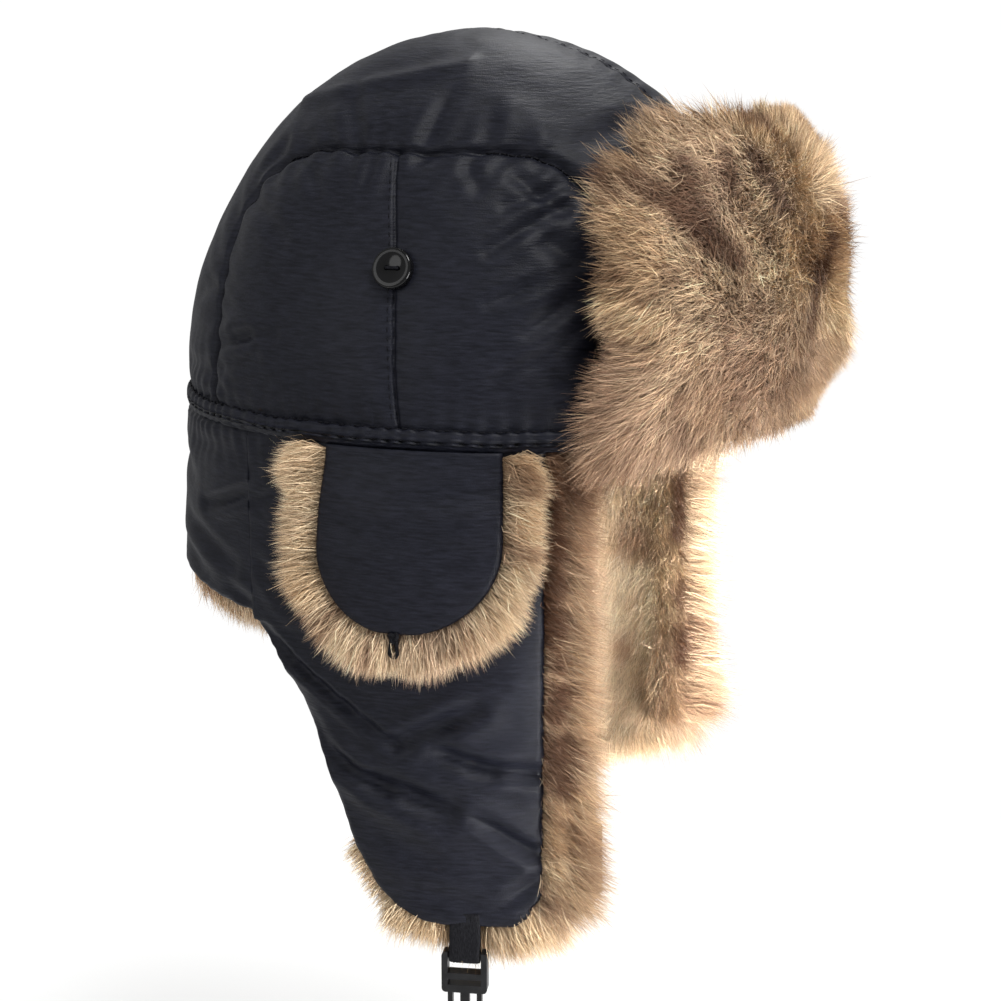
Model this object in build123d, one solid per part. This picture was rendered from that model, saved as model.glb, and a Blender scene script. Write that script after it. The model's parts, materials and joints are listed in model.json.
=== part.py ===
"""Trapper hat: a quilted nylon crown with a fold-down fur visor, ear flaps, ear covers and chin strap.

Millimetres, +Z up. The origin is the centre of the head opening, in the plane of the crown's hem.
The hat faces -Y, and the wearer's right side is -X.
"""
from build123d import *
from math import asin, atan2, cos, degrees, radians, sin, sqrt
import os

# Crown: half an ellipsoid standing on the hem
HALF_LENGTH = 105.0
HALF_WIDTH = 92.0
CROWN_HEIGHT = 126.0

# Cloth layers, from the outside in
NYLON = 1.2
CROWN_WADDING = 3.2
LINING = 0.8
LAYER_GAP = 0.3
SKIRT_WADDING = 1.8
SKIRT_FUR = 12.0
FUR_OVERHANG = 6.0

# Arched panel on each side of the crown
SIDE_PANEL_REAR = 68.0
SIDE_PANEL_FRONT = -66.0
SIDE_PANEL_TOP = 89.5
SIDE_PANEL_CORNER = 38.0
SIDE_SEAM_Y = -4.0
HEM_HEIGHT = 6.5
HEM_THICKNESS = 1.3

# Skirt: the nape stays with the crown, and an ear flap hangs on each side
FLAP_FRONT = -52.5
FLAP_REAR = 50.0
FLAP_BOTTOM = -158.0
FLAP_TOP_GAP = 1.2
SEAM_GAP = 0.4
NAPE_BOTTOM = -62.0
EAR_HOLE_WIDTH = 38.0
EAR_HOLE_HEIGHT = 40.0
EAR_HOLE_Y = -9.0
EAR_HOLE_Z = -31.0

# Ear cover: a small flap over the ear hole
COVER_Y = -11.75
COVER_WIDTH = 57.5
COVER_BOTTOM = -58.0
COVER_TOP = -1.5
COVER_CORNER = 25.0
COVER_GAP = 2.0
COVER_FUR = 6.0
COVER_FUR_BORDER = 12.0
LOOP_Y = -9.5
LOOP_LENGTH = 11.0
LOOP_CORD = 1.8

# Visor: a stiffened fur panel turned up against the front
VISOR_SPAN = 90.0
VISOR_HEIGHT = 95.0
VISOR_CLEARANCE = 2.4
VISOR_BULGE = 5.0
VISOR_LEAN = 8.0
VISOR_STIFFENER = 1.5
VISOR_PILE_LOW = 9.0
VISOR_PILE_MIDDLE = 15.5
VISOR_PILE_TOP = 9.0
VISOR_CORNER = 24.0

# Sew-through buttons that hold the lifted ear covers
BUTTON_RADIUS = 6.5
BUTTON_THICKNESS = 3.4
BUTTON_RIM = 1.6
BUTTON_HOLE_RADIUS = 0.8
BUTTON_HOLE_REACH = 1.8
BUTTON_Z = 54.0

# Chin strap and side-release buckle
WEBBING_WIDTH = 10.0
WEBBING_THICKNESS = 1.3
BUCKLE_WIDTH = 15.0
BUCKLE_THICKNESS = 4.4
BAR = 2.2
SLOT_WIDTH = 11.0
RIGHT_STRAP_Y = -28.0
LEFT_STRAP_Y = -7.0
STRAP_DROP = 2.0
RIGHT_WEBBING_LENGTH = 7.0
LEFT_WEBBING_LENGTH = 32.0
ARM_LENGTH = 15.0
FEMALE_LENGTH = 21.0

FAR = 300.0


def squeeze(solid):
    """Narrows a round form to the oval of the head."""
    return scale(solid, by=(HALF_WIDTH / HALF_LENGTH, 1, 1))


def left_of(solid):
    """The same piece on the other side of the hat."""
    return mirror(solid, about=Plane.YZ)


def save(node, solid):
    """Writes one sub-part under its own name."""
    export_step(Part() + solid, f"parts/{node}.step")


def sideways(outline, low_x, high_x):
    """A block whose side view is the outline, between two stations across the hat."""
    return Pos(low_x, 0, 0) * extrude(Plane.YZ * outline, high_x - low_x)


def dome_layer(depth, thickness):
    """A layer of the crown whose outer face lies `depth` under the crown's outer face."""
    outer = EllipticalCenterArc((0, 0), HALF_LENGTH - depth, CROWN_HEIGHT - depth, start_angle=0, arc_size=90)
    low = depth + thickness
    inner = EllipticalCenterArc((0, 0), HALF_LENGTH - low, CROWN_HEIGHT - low, start_angle=0, arc_size=90)
    ends = [Line(outer @ 0, inner @ 0), Line(outer @ 1, inner @ 1)]
    profile = make_face(Curve() + [outer, inner] + ends)
    return revolve(Plane.XZ * profile, Axis.Z)


def wall_layer(depth, thickness, low, high):
    """An upright round wall whose outer face lies `depth` inside the crown's widest line."""
    radius = HALF_LENGTH - depth
    base = Pos(0, 0, low)
    align = (Align.CENTER, Align.CENTER, Align.MIN)
    outer = Cylinder(radius, high - low, align=align)
    inner = Cylinder(radius - thickness, high - low, align=align)
    return base * (outer - inner)


def surface_x(y, z=0.0):
    """How far the crown or skirt reaches from the middle plane at a place seen from the side."""
    height = max(z, 0.0) / CROWN_HEIGHT
    return HALF_WIDTH * sqrt(1 - (y / HALF_LENGTH) ** 2 - height ** 2)


# ---------------------------------------------------------------- crown

def side_panel_outline(margin):
    """The arch of the side panel, smaller all round by a margin."""
    width = SIDE_PANEL_REAR - SIDE_PANEL_FRONT - 2 * margin
    centre = (SIDE_PANEL_REAR + SIDE_PANEL_FRONT) / 2
    block = Pos(centre, 0) * Rectangle(width, 2 * (SIDE_PANEL_TOP - margin))
    return fillet(block.vertices(), SIDE_PANEL_CORNER - margin)


def side_panels(layer, margin):
    """The front and rear halves of the right arched panel, held back from its seams by a margin."""
    panel = layer & sideways(side_panel_outline(margin), -FAR, 0)
    ahead = Box(FAR * 2, FAR, FAR * 2, align=(Align.CENTER, Align.MAX, Align.CENTER))
    behind = Box(FAR * 2, FAR, FAR * 2, align=(Align.CENTER, Align.MIN, Align.CENTER))
    front = panel & Pos(0, SIDE_SEAM_Y - margin, 0) * ahead
    rear = panel & Pos(0, SIDE_SEAM_Y + margin, 0) * behind
    return front, rear


def crown_panel(layer, margin):
    """The right half of the gusset that runs from the brow over the top to the nape."""
    half = Box(FAR, FAR * 2, FAR * 2, align=(Align.MAX, Align.CENTER, Align.CENTER))
    right = layer & Pos(-margin, 0, 0) * half
    return right - sideways(side_panel_outline(-margin), -FAR, 0)


def save_panels(layer, margin, ending):
    """Writes the six panels cut from one layer of the crown."""
    front, rear = side_panels(layer, margin)
    gusset = crown_panel(layer, margin)
    for name, piece in (("side_panel_front", front), ("side_panel_rear", rear), ("crown_panel", gusset)):
        shaped = squeeze(piece)
        save(f"right_{name}{ending}", shaped)
        save(f"left_{name}{ending}", left_of(shaped))


def hem_band():
    """The stitched band around the foot of the crown."""
    return wall_layer(-HEM_THICKNESS, HEM_THICKNESS - 0.02, 0, HEM_HEIGHT)


def button_blank():
    """A round button with a raised rim, a dished middle and two holes, facing +Z."""
    body = Cylinder(BUTTON_RADIUS, BUTTON_THICKNESS, align=(Align.CENTER, Align.CENTER, Align.MIN))
    body = fillet(body.edges().filter_by(GeomType.CIRCLE), 0.9)
    dish = Sphere(2 * BUTTON_RADIUS)
    dish_radius = BUTTON_RADIUS - BUTTON_RIM
    dish_rise = sqrt((2 * BUTTON_RADIUS) ** 2 - dish_radius ** 2)
    body -= Pos(0, 0, BUTTON_THICKNESS + dish_rise) * dish
    for spot in GridLocations(2 * BUTTON_HOLE_REACH, 0, 2, 1):
        body -= spot * Cylinder(BUTTON_HOLE_RADIUS, 4 * BUTTON_THICKNESS)
    return body


def button_thread():
    """The thread that goes up one hole of the button, across and down the other."""
    strand_radius = 0.5
    top = BUTTON_THICKNESS - 0.35
    upright = Cylinder(strand_radius, top, align=(Align.CENTER, Align.CENTER, Align.MIN))
    strand = Pos(0, 0, top) * Rot(0, 90, 0) * Cylinder(strand_radius, 2 * BUTTON_HOLE_REACH)
    for x in (-BUTTON_HOLE_REACH, BUTTON_HOLE_REACH):
        strand += Pos(x, 0, 0) * upright
        strand += Pos(x, 0, top) * Sphere(strand_radius)
    return strand


def button_place():
    """The place and facing of the right button on the crown."""
    x = -surface_x(SIDE_SEAM_Y, BUTTON_Z)
    normal = Vector(x / HALF_WIDTH ** 2, SIDE_SEAM_Y / HALF_LENGTH ** 2, BUTTON_Z / CROWN_HEIGHT ** 2)
    normal = normal.normalized()
    foot = Vector(x, SIDE_SEAM_Y, BUTTON_Z) + normal * 0.6
    return Plane(origin=foot, x_dir=(0, 1, 0), z_dir=normal)


# ---------------------------------------------------------------- skirt

def flap_outline():
    """The ear flap's side view: straight in front, swept in from the nape to a rounded tip."""
    top = -FLAP_TOP_GAP
    sweep = Spline(
        [(FLAP_REAR, NAPE_BOTTOM - 2), (30, -83), (12, -118), (0, -147), (-24, FLAP_BOTTOM)],
        tangents=[(-1, -0.25), (-1, 0)],
    )
    foot = Line((-24, FLAP_BOTTOM), (-40, FLAP_BOTTOM))
    corner = ThreePointArc((-40, FLAP_BOTTOM), (-49, FLAP_BOTTOM + 3.6), (FLAP_FRONT, FLAP_BOTTOM + 14))
    front = Polyline((FLAP_FRONT, FLAP_BOTTOM + 14), (FLAP_FRONT, top), (FLAP_REAR, top), (FLAP_REAR, NAPE_BOTTOM - 2))
    return make_face(Curve() + [sweep, foot, corner, front])


def fur_outline():
    """The lining fur's side view: it stands past the free edges of the flap, not past the seam or the tip."""
    grown = offset(flap_outline(), amount=FUR_OVERHANG)
    width = FLAP_REAR - FLAP_FRONT + FUR_OVERHANG
    height = -FLAP_BOTTOM - FLAP_TOP_GAP
    window = Pos(FLAP_REAR - width / 2, (FLAP_BOTTOM - FLAP_TOP_GAP) / 2) * Rectangle(width, height)
    return grown & window


def ear_hole():
    """The opening over the ear, as a block to cut with."""
    shape = Pos(EAR_HOLE_Y, EAR_HOLE_Z) * RectangleRounded(EAR_HOLE_WIDTH, EAR_HOLE_HEIGHT, 0.45 * EAR_HOLE_WIDTH)
    return sideways(shape, -FAR, 0)


def flap_layer(depth, thickness, outline):
    """One layer of the right ear flap, with the ear hole through it."""
    wall = wall_layer(depth, thickness, FLAP_BOTTOM - 20, 0)
    return (wall & sideways(outline, -FAR, 0)) - ear_hole()


def nape_layer(depth, thickness, low):
    """One layer of the skirt behind the ear flaps."""
    front = FLAP_REAR + SEAM_GAP
    back_half = Pos(0, front, 0) * Box(FAR * 2, FAR, FAR * 2, align=(Align.CENTER, Align.MIN, Align.CENTER))
    return wall_layer(depth, thickness, low, 0) & back_half


# ---------------------------------------------------------------- ear cover

def cover_outline(border):
    """The ear cover's side view, grown by a border on its free edges."""
    top = COVER_TOP
    bottom = COVER_BOTTOM - border
    width = COVER_WIDTH + 2 * border
    block = Pos(COVER_Y, bottom + 100) * Rectangle(width, 200)
    low = block.vertices().sort_by(Axis.Y)[:2]
    rounded = fillet(low, COVER_CORNER + border)
    window = Pos(COVER_Y, (top + bottom) / 2) * Rectangle(width, top - bottom)
    return rounded & window


def cover_layer(depth, thickness, border):
    """One layer of the right ear cover."""
    wall = wall_layer(depth, thickness, COVER_BOTTOM - 30, 0)
    return wall & sideways(cover_outline(border), -FAR, 0)


def cover_loop():
    """The elastic loop under the ear cover, a rounded link of cord."""
    path_radius = (LOOP_LENGTH - LOOP_CORD) / 2
    ring = Torus(path_radius, LOOP_CORD / 2)
    depth = COVER_GAP + COVER_FUR + LOOP_CORD / 2 + 0.6
    x = -surface_x(LOOP_Y) * (1 + depth / HALF_LENGTH)
    z = COVER_BOTTOM - 0.2 - LOOP_LENGTH / 2
    return Pos(x, LOOP_Y, z) * Rot(0, 90, 0) * scale(ring, by=(1, 0.55, 1))


# ---------------------------------------------------------------- visor

def visor_face(offset_low, offset_middle, offset_top):
    """An upright arc of the visor's section, as offsets from its inner face, in the (radius, height) plane."""
    foot = (HALF_LENGTH + VISOR_CLEARANCE + offset_low, 0.5)
    middle = (HALF_LENGTH + VISOR_CLEARANCE + VISOR_BULGE + offset_middle, 0.45 * VISOR_HEIGHT)
    head = (HALF_LENGTH + VISOR_CLEARANCE - VISOR_LEAN + offset_top, VISOR_HEIGHT)
    return ThreePointArc(foot, middle, head)


def visor_sector(profile):
    """Turns a section of the visor around the front of the hat."""
    band = revolve(Plane.XZ * profile, Axis.Z, VISOR_SPAN)
    return Rot(0, 0, -90 - VISOR_SPAN / 2) * band


def visor_layer(depth, thickness):
    """A thin sheet of the visor, `depth` in front of its inner face."""
    inner = visor_face(depth, depth, depth)
    outer = visor_face(depth + thickness, depth + thickness, depth + thickness)
    ends = [Line(inner @ 0, outer @ 0), Line(inner @ 1, outer @ 1)]
    return visor_sector(make_face(Curve() + [inner, outer] + ends))


def visor_fur_body():
    """The visor's fur as one padded form, rounded over the top edge."""
    back = NYLON + VISOR_STIFFENER
    inner = visor_face(back, back, back)
    outer = visor_face(back + VISOR_PILE_LOW, back + VISOR_PILE_MIDDLE, back + VISOR_PILE_TOP)
    foot = ThreePointArc(inner @ 0, ((inner @ 0) + (outer @ 0)) * 0.5 + Vector(0, -3), outer @ 0)
    head = ThreePointArc(inner @ 1, ((inner @ 1) + (outer @ 1)) * 0.5 + Vector(0, 5), outer @ 1)
    return visor_sector(make_face(Curve() + [inner, outer, foot, head]))


def round_visor_corners(solid):
    """Rounds the two upper corners of a visor layer, seen from the front."""
    widest = HALF_LENGTH * sin(radians(VISOR_SPAN / 2)) + VISOR_PILE_MIDDLE + 6
    block = Rectangle(2 * widest, 2 * (VISOR_HEIGHT + 6))
    outline = fillet(block.vertices(), VISOR_CORNER)
    return solid & extrude(Plane.XZ * outline, FAR)


# ---------------------------------------------------------------- chin strap

def tip_place(y, z):
    """Where a strap leaves the right flap's tip: its width follows the skirt."""
    turn = asin(y / HALF_LENGTH)
    yaw = atan2(-HALF_WIDTH * sin(turn), HALF_LENGTH * cos(turn))
    depth = NYLON + 0.5
    x = -surface_x(y) * (1 - depth / HALF_LENGTH)
    return Pos(x, y, z) * Rot(0, 0, degrees(yaw))


def block(width, low, high, thickness):
    """A flat block hanging below the strap's top, wide along Y and thin along X."""
    return Pos(0, 0, (low + high) / 2) * Box(thickness, width, high - low)


def webbing(length):
    """Doubled webbing that goes round the buckle's first bar."""
    gap = BAR + 0.3
    bar_z = -length - BAR / 2
    strap = block(WEBBING_WIDTH, bar_z, 0, gap + 2 * WEBBING_THICKNESS)
    bend = Pos(0, 0, bar_z) * Rot(90, 0, 0) * Cylinder(gap / 2 + WEBBING_THICKNESS, WEBBING_WIDTH)
    hollow = Pos(0, 0, bar_z) * Rot(90, 0, 0) * Cylinder(gap / 2, WEBBING_WIDTH + 2)
    neck = block(WEBBING_WIDTH + 2, bar_z, -0.6 * length, gap)
    return strap + bend - hollow - neck


def bar_solid(z):
    """A round crossbar of the buckle."""
    return Pos(0, 0, z) * Rot(90, 0, 0) * Cylinder(BAR / 2, SLOT_WIDTH + 2)


def buckle_frame(length):
    """The slotted half that the webbing passes round, hung below a strap of this length."""
    top = -length + 0.6
    slot_one = 4.4
    slot_two = 2.0
    bar_z = -length - BAR / 2
    first_low = bar_z - BAR / 2 - slot_one
    second_high = first_low - BAR
    second_low = second_high - slot_two
    foot = second_low - 2.6
    body = block(BUCKLE_WIDTH, foot, top, BUCKLE_THICKNESS)
    body = fillet(body.edges().filter_by(Axis.X), 1.4)
    body -= block(SLOT_WIDTH, first_low, top + 5, BUCKLE_THICKNESS + 2)
    body -= block(SLOT_WIDTH, second_low, second_high, BUCKLE_THICKNESS + 2)
    return body + bar_solid(bar_z), foot


def male_buckle():
    """The male half: frame, centre guide, and the roots that its two arms spring from."""
    body, foot = buckle_frame(RIGHT_WEBBING_LENGTH)
    guide = block(3.0, foot - ARM_LENGTH + 3, foot, 2.2)
    guide = chamfer(guide.edges().filter_by(Axis.X).sort_by(Axis.Z)[:2], 0.9)
    return body + guide, foot


def buckle_arm(foot, side):
    """A springing arm with a barbed head, on one side of the guide."""
    gap = 0.3
    inner = side * 4.0
    outer = side * 5.6
    head = side * 7.4
    z = foot - gap
    outline = Polyline(
        (inner, z), (outer, z), (outer, z - 6.5), (head, z - 7.5), (head, z - 11),
        (side * 6.0, z - ARM_LENGTH), (inner + side * 0.4, z - ARM_LENGTH), (inner, z - 8), (inner, z),
    )
    arm = extrude(Plane.YZ * make_face(outline), 1.4, both=True)
    return fillet(arm.edges().filter_by(Axis.X).sort_by(Axis.Z)[:2], 0.5)


def female_buckle():
    """The female half: the same frame with a flat hollow housing below it."""
    body, foot = buckle_frame(LEFT_WEBBING_LENGTH)
    housing = block(BUCKLE_WIDTH + 1, foot - FEMALE_LENGTH + 5, foot, BUCKLE_THICKNESS + 1.4)
    housing = fillet(housing.edges().filter_by(Axis.Z), 1.8)
    mouth_low = foot - FEMALE_LENGTH
    housing -= block(BUCKLE_WIDTH - 1.6, mouth_low, foot - 1.5, 3.4)
    window = block(BUCKLE_WIDTH + 6, foot - 9.5, foot - 4.5, 3.4)
    return body + (housing - window)


# ---------------------------------------------------------------- write every piece

def write_crown():
    wadding_depth = NYLON + LAYER_GAP
    save_panels(dome_layer(0, NYLON), 0, "")
    save_panels(dome_layer(wadding_depth, CROWN_WADDING), LAYER_GAP, "_wadding")
    save("hem_band", squeeze(hem_band()))
    save("crown_lining", squeeze(dome_layer(wadding_depth + CROWN_WADDING + LAYER_GAP, LINING)))
    place = button_place()
    for name, piece in (("button", button_blank()), ("button_thread", button_thread())):
        placed = place.location * piece
        save(f"right_{name}", placed)
        save(f"left_{name}", left_of(placed))


def write_nape():
    fur_depth = NYLON + SKIRT_WADDING
    save("nape_shell", squeeze(nape_layer(0, NYLON, NAPE_BOTTOM)))
    save("nape_wadding", squeeze(nape_layer(NYLON, SKIRT_WADDING, NAPE_BOTTOM + 2)))
    save("nape_fur", squeeze(nape_layer(fur_depth, SKIRT_FUR, NAPE_BOTTOM - FUR_OVERHANG)))


def write_ear_flaps():
    layers = {
        "ear_flap_shell": flap_layer(0, NYLON, flap_outline()),
        "ear_flap_wadding": flap_layer(NYLON, SKIRT_WADDING, offset(flap_outline(), amount=-2)),
        "ear_flap_fur": flap_layer(NYLON + SKIRT_WADDING, SKIRT_FUR, fur_outline()),
        "ear_cover_shell": cover_layer(-COVER_GAP - COVER_FUR - NYLON, NYLON, 0),
        "ear_cover_fur": cover_layer(-COVER_GAP - COVER_FUR, COVER_FUR, COVER_FUR_BORDER),
    }
    for name, piece in layers.items():
        shaped = squeeze(piece)
        save(f"right_{name}", shaped)
        save(f"left_{name}", left_of(shaped))
    loop = cover_loop()
    save("right_ear_cover_loop", loop)
    save("left_ear_cover_loop", left_of(loop))


def write_visor():
    save("visor_shell", squeeze(round_visor_corners(visor_layer(0, NYLON))))
    save("visor_stiffener", squeeze(round_visor_corners(visor_layer(NYLON, VISOR_STIFFENER))))
    save("visor_fur", squeeze(round_visor_corners(visor_fur_body())))


def write_chin_strap():
    right = tip_place(RIGHT_STRAP_Y, FLAP_BOTTOM - STRAP_DROP)
    left = tip_place(LEFT_STRAP_Y, FLAP_BOTTOM - STRAP_DROP)
    male, foot = male_buckle()
    save("right_strap_webbing", right * webbing(RIGHT_WEBBING_LENGTH))
    save("male_buckle", right * male)
    save("buckle_front_arm", right * buckle_arm(foot, -1))
    save("buckle_rear_arm", right * buckle_arm(foot, 1))
    save("left_strap_webbing", left_of(left * webbing(LEFT_WEBBING_LENGTH)))
    save("female_buckle", left_of(left * female_buckle()))


os.makedirs("parts", exist_ok=True)
write_crown()
write_nape()
write_ear_flaps()
write_visor()
write_chin_strap()
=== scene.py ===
"""Looks for the trapper hat: padded nylon, faux fur grown strand by strand, stitching, straps and studio."""
import bpy
import json
import math
import numpy as np
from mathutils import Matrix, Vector


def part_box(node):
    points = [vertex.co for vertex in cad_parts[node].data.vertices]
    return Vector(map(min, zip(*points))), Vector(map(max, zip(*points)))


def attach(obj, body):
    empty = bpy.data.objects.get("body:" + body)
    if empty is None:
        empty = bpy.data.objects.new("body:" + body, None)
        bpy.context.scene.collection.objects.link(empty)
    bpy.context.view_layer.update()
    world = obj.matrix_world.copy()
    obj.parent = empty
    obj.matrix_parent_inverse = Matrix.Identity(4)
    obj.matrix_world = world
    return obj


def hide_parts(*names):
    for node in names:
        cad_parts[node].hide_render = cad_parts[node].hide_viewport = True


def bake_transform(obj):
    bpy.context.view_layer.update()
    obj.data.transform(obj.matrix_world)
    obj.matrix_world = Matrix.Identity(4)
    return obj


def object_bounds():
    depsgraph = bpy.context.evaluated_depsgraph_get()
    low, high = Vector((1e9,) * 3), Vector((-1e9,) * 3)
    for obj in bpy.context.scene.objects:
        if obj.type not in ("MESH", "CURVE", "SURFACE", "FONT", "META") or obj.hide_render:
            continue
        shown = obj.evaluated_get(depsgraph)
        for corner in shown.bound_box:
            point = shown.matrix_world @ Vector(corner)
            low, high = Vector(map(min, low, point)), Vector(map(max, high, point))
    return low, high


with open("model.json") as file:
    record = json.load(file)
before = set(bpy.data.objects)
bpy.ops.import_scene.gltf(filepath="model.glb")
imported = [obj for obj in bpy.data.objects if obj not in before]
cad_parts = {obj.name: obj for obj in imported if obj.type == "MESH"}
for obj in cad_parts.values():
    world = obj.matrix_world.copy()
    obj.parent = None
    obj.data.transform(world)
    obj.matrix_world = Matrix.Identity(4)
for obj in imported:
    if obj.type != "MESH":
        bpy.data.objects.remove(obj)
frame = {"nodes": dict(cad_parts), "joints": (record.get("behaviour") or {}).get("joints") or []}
CAD_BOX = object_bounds()

# ---------------------------------------------------------------- sizes, in metres, from the frame
MM = 0.001
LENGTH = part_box("right_crown_panel")[1].y
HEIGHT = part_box("right_crown_panel")[1].z
WIDTH = -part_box("right_ear_flap_shell")[0].x
PANEL_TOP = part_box("right_side_panel_rear")[1].z
PANEL_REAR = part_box("right_side_panel_rear")[1].y
PANEL_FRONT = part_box("right_side_panel_front")[0].y
PANEL_CORNER = 38 * MM
HEM_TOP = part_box("hem_band")[1].z
FLAP_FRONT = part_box("right_ear_flap_shell")[0].y
FLAP_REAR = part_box("right_ear_flap_shell")[1].y
FLAP_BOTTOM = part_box("right_ear_flap_shell")[0].z
NAPE_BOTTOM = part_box("nape_shell")[0].z
COVER_LOW, COVER_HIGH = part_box("right_ear_cover_shell")
COVER_Y = (COVER_LOW.y + COVER_HIGH.y) / 2
COVER_HALF = (COVER_HIGH.y - COVER_LOW.y) / 2
VISOR_HALF_ANGLE = 48.0
VISOR_TALL = 95.0
VISOR_MM_A_DEGREE = 1.75
GIRTH_RADIUS = 98 * MM
CLOTH_DEPTH = 2.8 * MM
NAPE_FLARE = 4.5 * MM
NAPE_RISE = 5 * MM
NAPE_SEAM = math.asin(FLAP_REAR / LENGTH)
DOWN = np.array([0, 0, -1.0])
FORWARD = np.array([0, -1.0, 0])
SIDES = {"right": 1, "left": -1}


# ---------------------------------------------------------------- number helpers

def smooth(low, high, value):
    """0 below low, 1 above high, and an easy curve between."""
    t = np.clip((value - low) / (high - low), 0, 1)
    return t * t * (3 - 2 * t)


def noise(points, size, seed):
    """Smooth random values from -1 to 1 at (n, 3) points, with features about `size` across."""
    grid = np.random.default_rng(seed).uniform(-1, 1, (32, 32, 32))
    place = np.asarray(points) / size
    cell = np.floor(place).astype(int)
    part = place - cell
    part = part * part * (3 - 2 * part)
    total = np.zeros(place.shape[:-1])
    for corner in np.ndindex(2, 2, 2):
        weight = np.ones_like(total)
        for axis, bit in enumerate(corner):
            weight *= part[..., axis] if bit else 1 - part[..., axis]
        index = [(cell[..., axis] + bit) % 32 for axis, bit in enumerate(corner)]
        total += weight * grid[index[0], index[1], index[2]]
    return total


def unit(vectors):
    """The same directions with length 1."""
    return vectors / np.maximum(np.linalg.norm(vectors, axis=-1, keepdims=True), 1e-12)


def line_distance(y, z, ends):
    """Distance from side-view points to a straight line, and how far along it they are, 0 to 1."""
    y0, z0, y1, z1 = (value * MM for value in ends)
    dy, dz = y1 - y0, z1 - z0
    along = np.clip(((y - y0) * dy + (z - z0) * dz) / (dy * dy + dz * dz), 0, 1)
    return np.hypot(y - y0 - along * dy, z - z0 - along * dz), along


def folds(y, z, creases):
    """Soft valleys with a lip on each side, for creases given as (y0, z0, y1, z1, width, depth) in mm."""
    total = np.zeros_like(y)
    for *ends, width, depth in creases:
        distance, along = line_distance(y, z, ends)
        fade = np.sin(np.pi * (0.12 + 0.76 * along)) ** 0.7
        valley = np.exp(-(distance / (width * MM)) ** 2)
        lip = np.exp(-((distance - 1.7 * width * MM) / (1.1 * width * MM)) ** 2)
        total += depth * MM * fade * (0.45 * lip - valley)
    return total


# ---------------------------------------------------------------- mesh helpers

def make_object(name, points, faces, material):
    """A smooth-shaded mesh object."""
    mesh = bpy.data.meshes.new(name)
    mesh.from_pydata(np.asarray(points).reshape(-1, 3).tolist(), [], faces)
    mesh.polygons.foreach_set("use_smooth", [True] * len(mesh.polygons))
    mesh.materials.append(material)
    mesh.update()
    obj = bpy.data.objects.new(name, mesh)
    bpy.context.scene.collection.objects.link(obj)
    return obj


def grid_faces(rows, columns, start=0, wrap=False, flip=False):
    """Quads over a grid of points, joined end to end along the columns if it wraps."""
    index = np.arange(rows * columns).reshape(rows, columns) + start
    if wrap:
        index = np.concatenate([index, index[:, :1]], axis=1)
    a, b, c, d = index[:-1, :-1], index[:-1, 1:], index[1:, 1:], index[1:, :-1]
    corners = (a, d, c, b) if flip else (a, b, c, d)
    return np.stack([c.ravel() for c in corners], 1).tolist()


def closed_sheet(name, outer, inner, material):
    """A closed solid from two grids of the same size, joined around their border."""
    rows, columns = outer.shape[:2]
    count = rows * columns
    faces = grid_faces(rows, columns) + grid_faces(rows, columns, count, flip=True)
    index = np.arange(count).reshape(rows, columns)
    border = np.concatenate([index[0, :-1], index[:-1, -1], index[-1, :0:-1], index[:0:-1, 0]])
    after = np.roll(border, -1)
    faces += np.stack([after, border, border + count, after + count], 1).tolist()
    return make_object(name, np.concatenate([outer.reshape(-1, 3), inner.reshape(-1, 3)]), faces, material)


def quarter(share):
    """Drop of a quarter circle, from 0 at its top to 1 at its foot."""
    return 1 - np.sqrt(np.maximum(1 - share ** 2, 0))


def rolled(edge, width):
    """How far a rounded free edge has dropped, 1 at the edge and 0 from `width` inwards."""
    return quarter(1 - np.clip(edge / width, 0, 1))


def settle(obj, body, nodes):
    """Ties a piece to its body and hides the CAD nodes it replaces."""
    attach(obj, body)
    dress(nodes)


def dress(nodes):
    """Hides the CAD nodes that a piece replaces."""
    if nodes:
        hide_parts(*nodes)


def mirrored(points, side):
    """Points made for the wearer's right side, moved to the side asked for."""
    return points * np.array([side, 1, 1])


def hung(points, side):
    """Points of an ear flap on the side asked for; the left flap's front corner curls up and inward."""
    placed = mirrored(points, side)
    if side > 0:
        return placed
    depth = np.clip((-88 * MM - placed[..., 2]) / (70 * MM), 0, 1.3)
    ahead = smooth(6 * MM, FLAP_FRONT, placed[..., 1])
    placed[..., 2] += 24 * MM * ahead * depth
    placed[..., 0] -= 7 * MM * ahead * depth ** 2
    return placed


def sided_sheet(name, outer, inner, side, placed, material):
    """A closed sheet made for the wearer's right side and put on the side asked for by `placed`."""
    if side < 0:
        outer, inner = outer[:, ::-1], inner[:, ::-1]
    return closed_sheet(name, placed(outer, side), placed(inner, side), material)


# ---------------------------------------------------------------- materials

def new_material(name):
    """A node material and its shader node."""
    material = bpy.data.materials.new(name)
    material.use_nodes = True
    return material, material.node_tree.nodes["Principled BSDF"]


def add(tree, kind, **inputs):
    """Adds a node and sets its unlinked inputs by name."""
    node = tree.nodes.new(kind)
    for key, value in inputs.items():
        node.inputs[key.replace("_", " ")].default_value = value
    return node


def streaks(tree, stretch, detail=2.0):
    """Noise stretched into threads along one direction of the object's own space."""
    place = tree.nodes.new("ShaderNodeTexCoord")
    mapping = tree.nodes.new("ShaderNodeMapping")
    mapping.inputs["Scale"].default_value = stretch
    texture = add(tree, "ShaderNodeTexNoise", Scale=1.0, Detail=detail, Roughness=0.6)
    tree.links.new(place.outputs["Object"], mapping.inputs["Vector"])
    tree.links.new(mapping.outputs["Vector"], texture.inputs["Vector"])
    return texture.outputs["Fac"]


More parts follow.
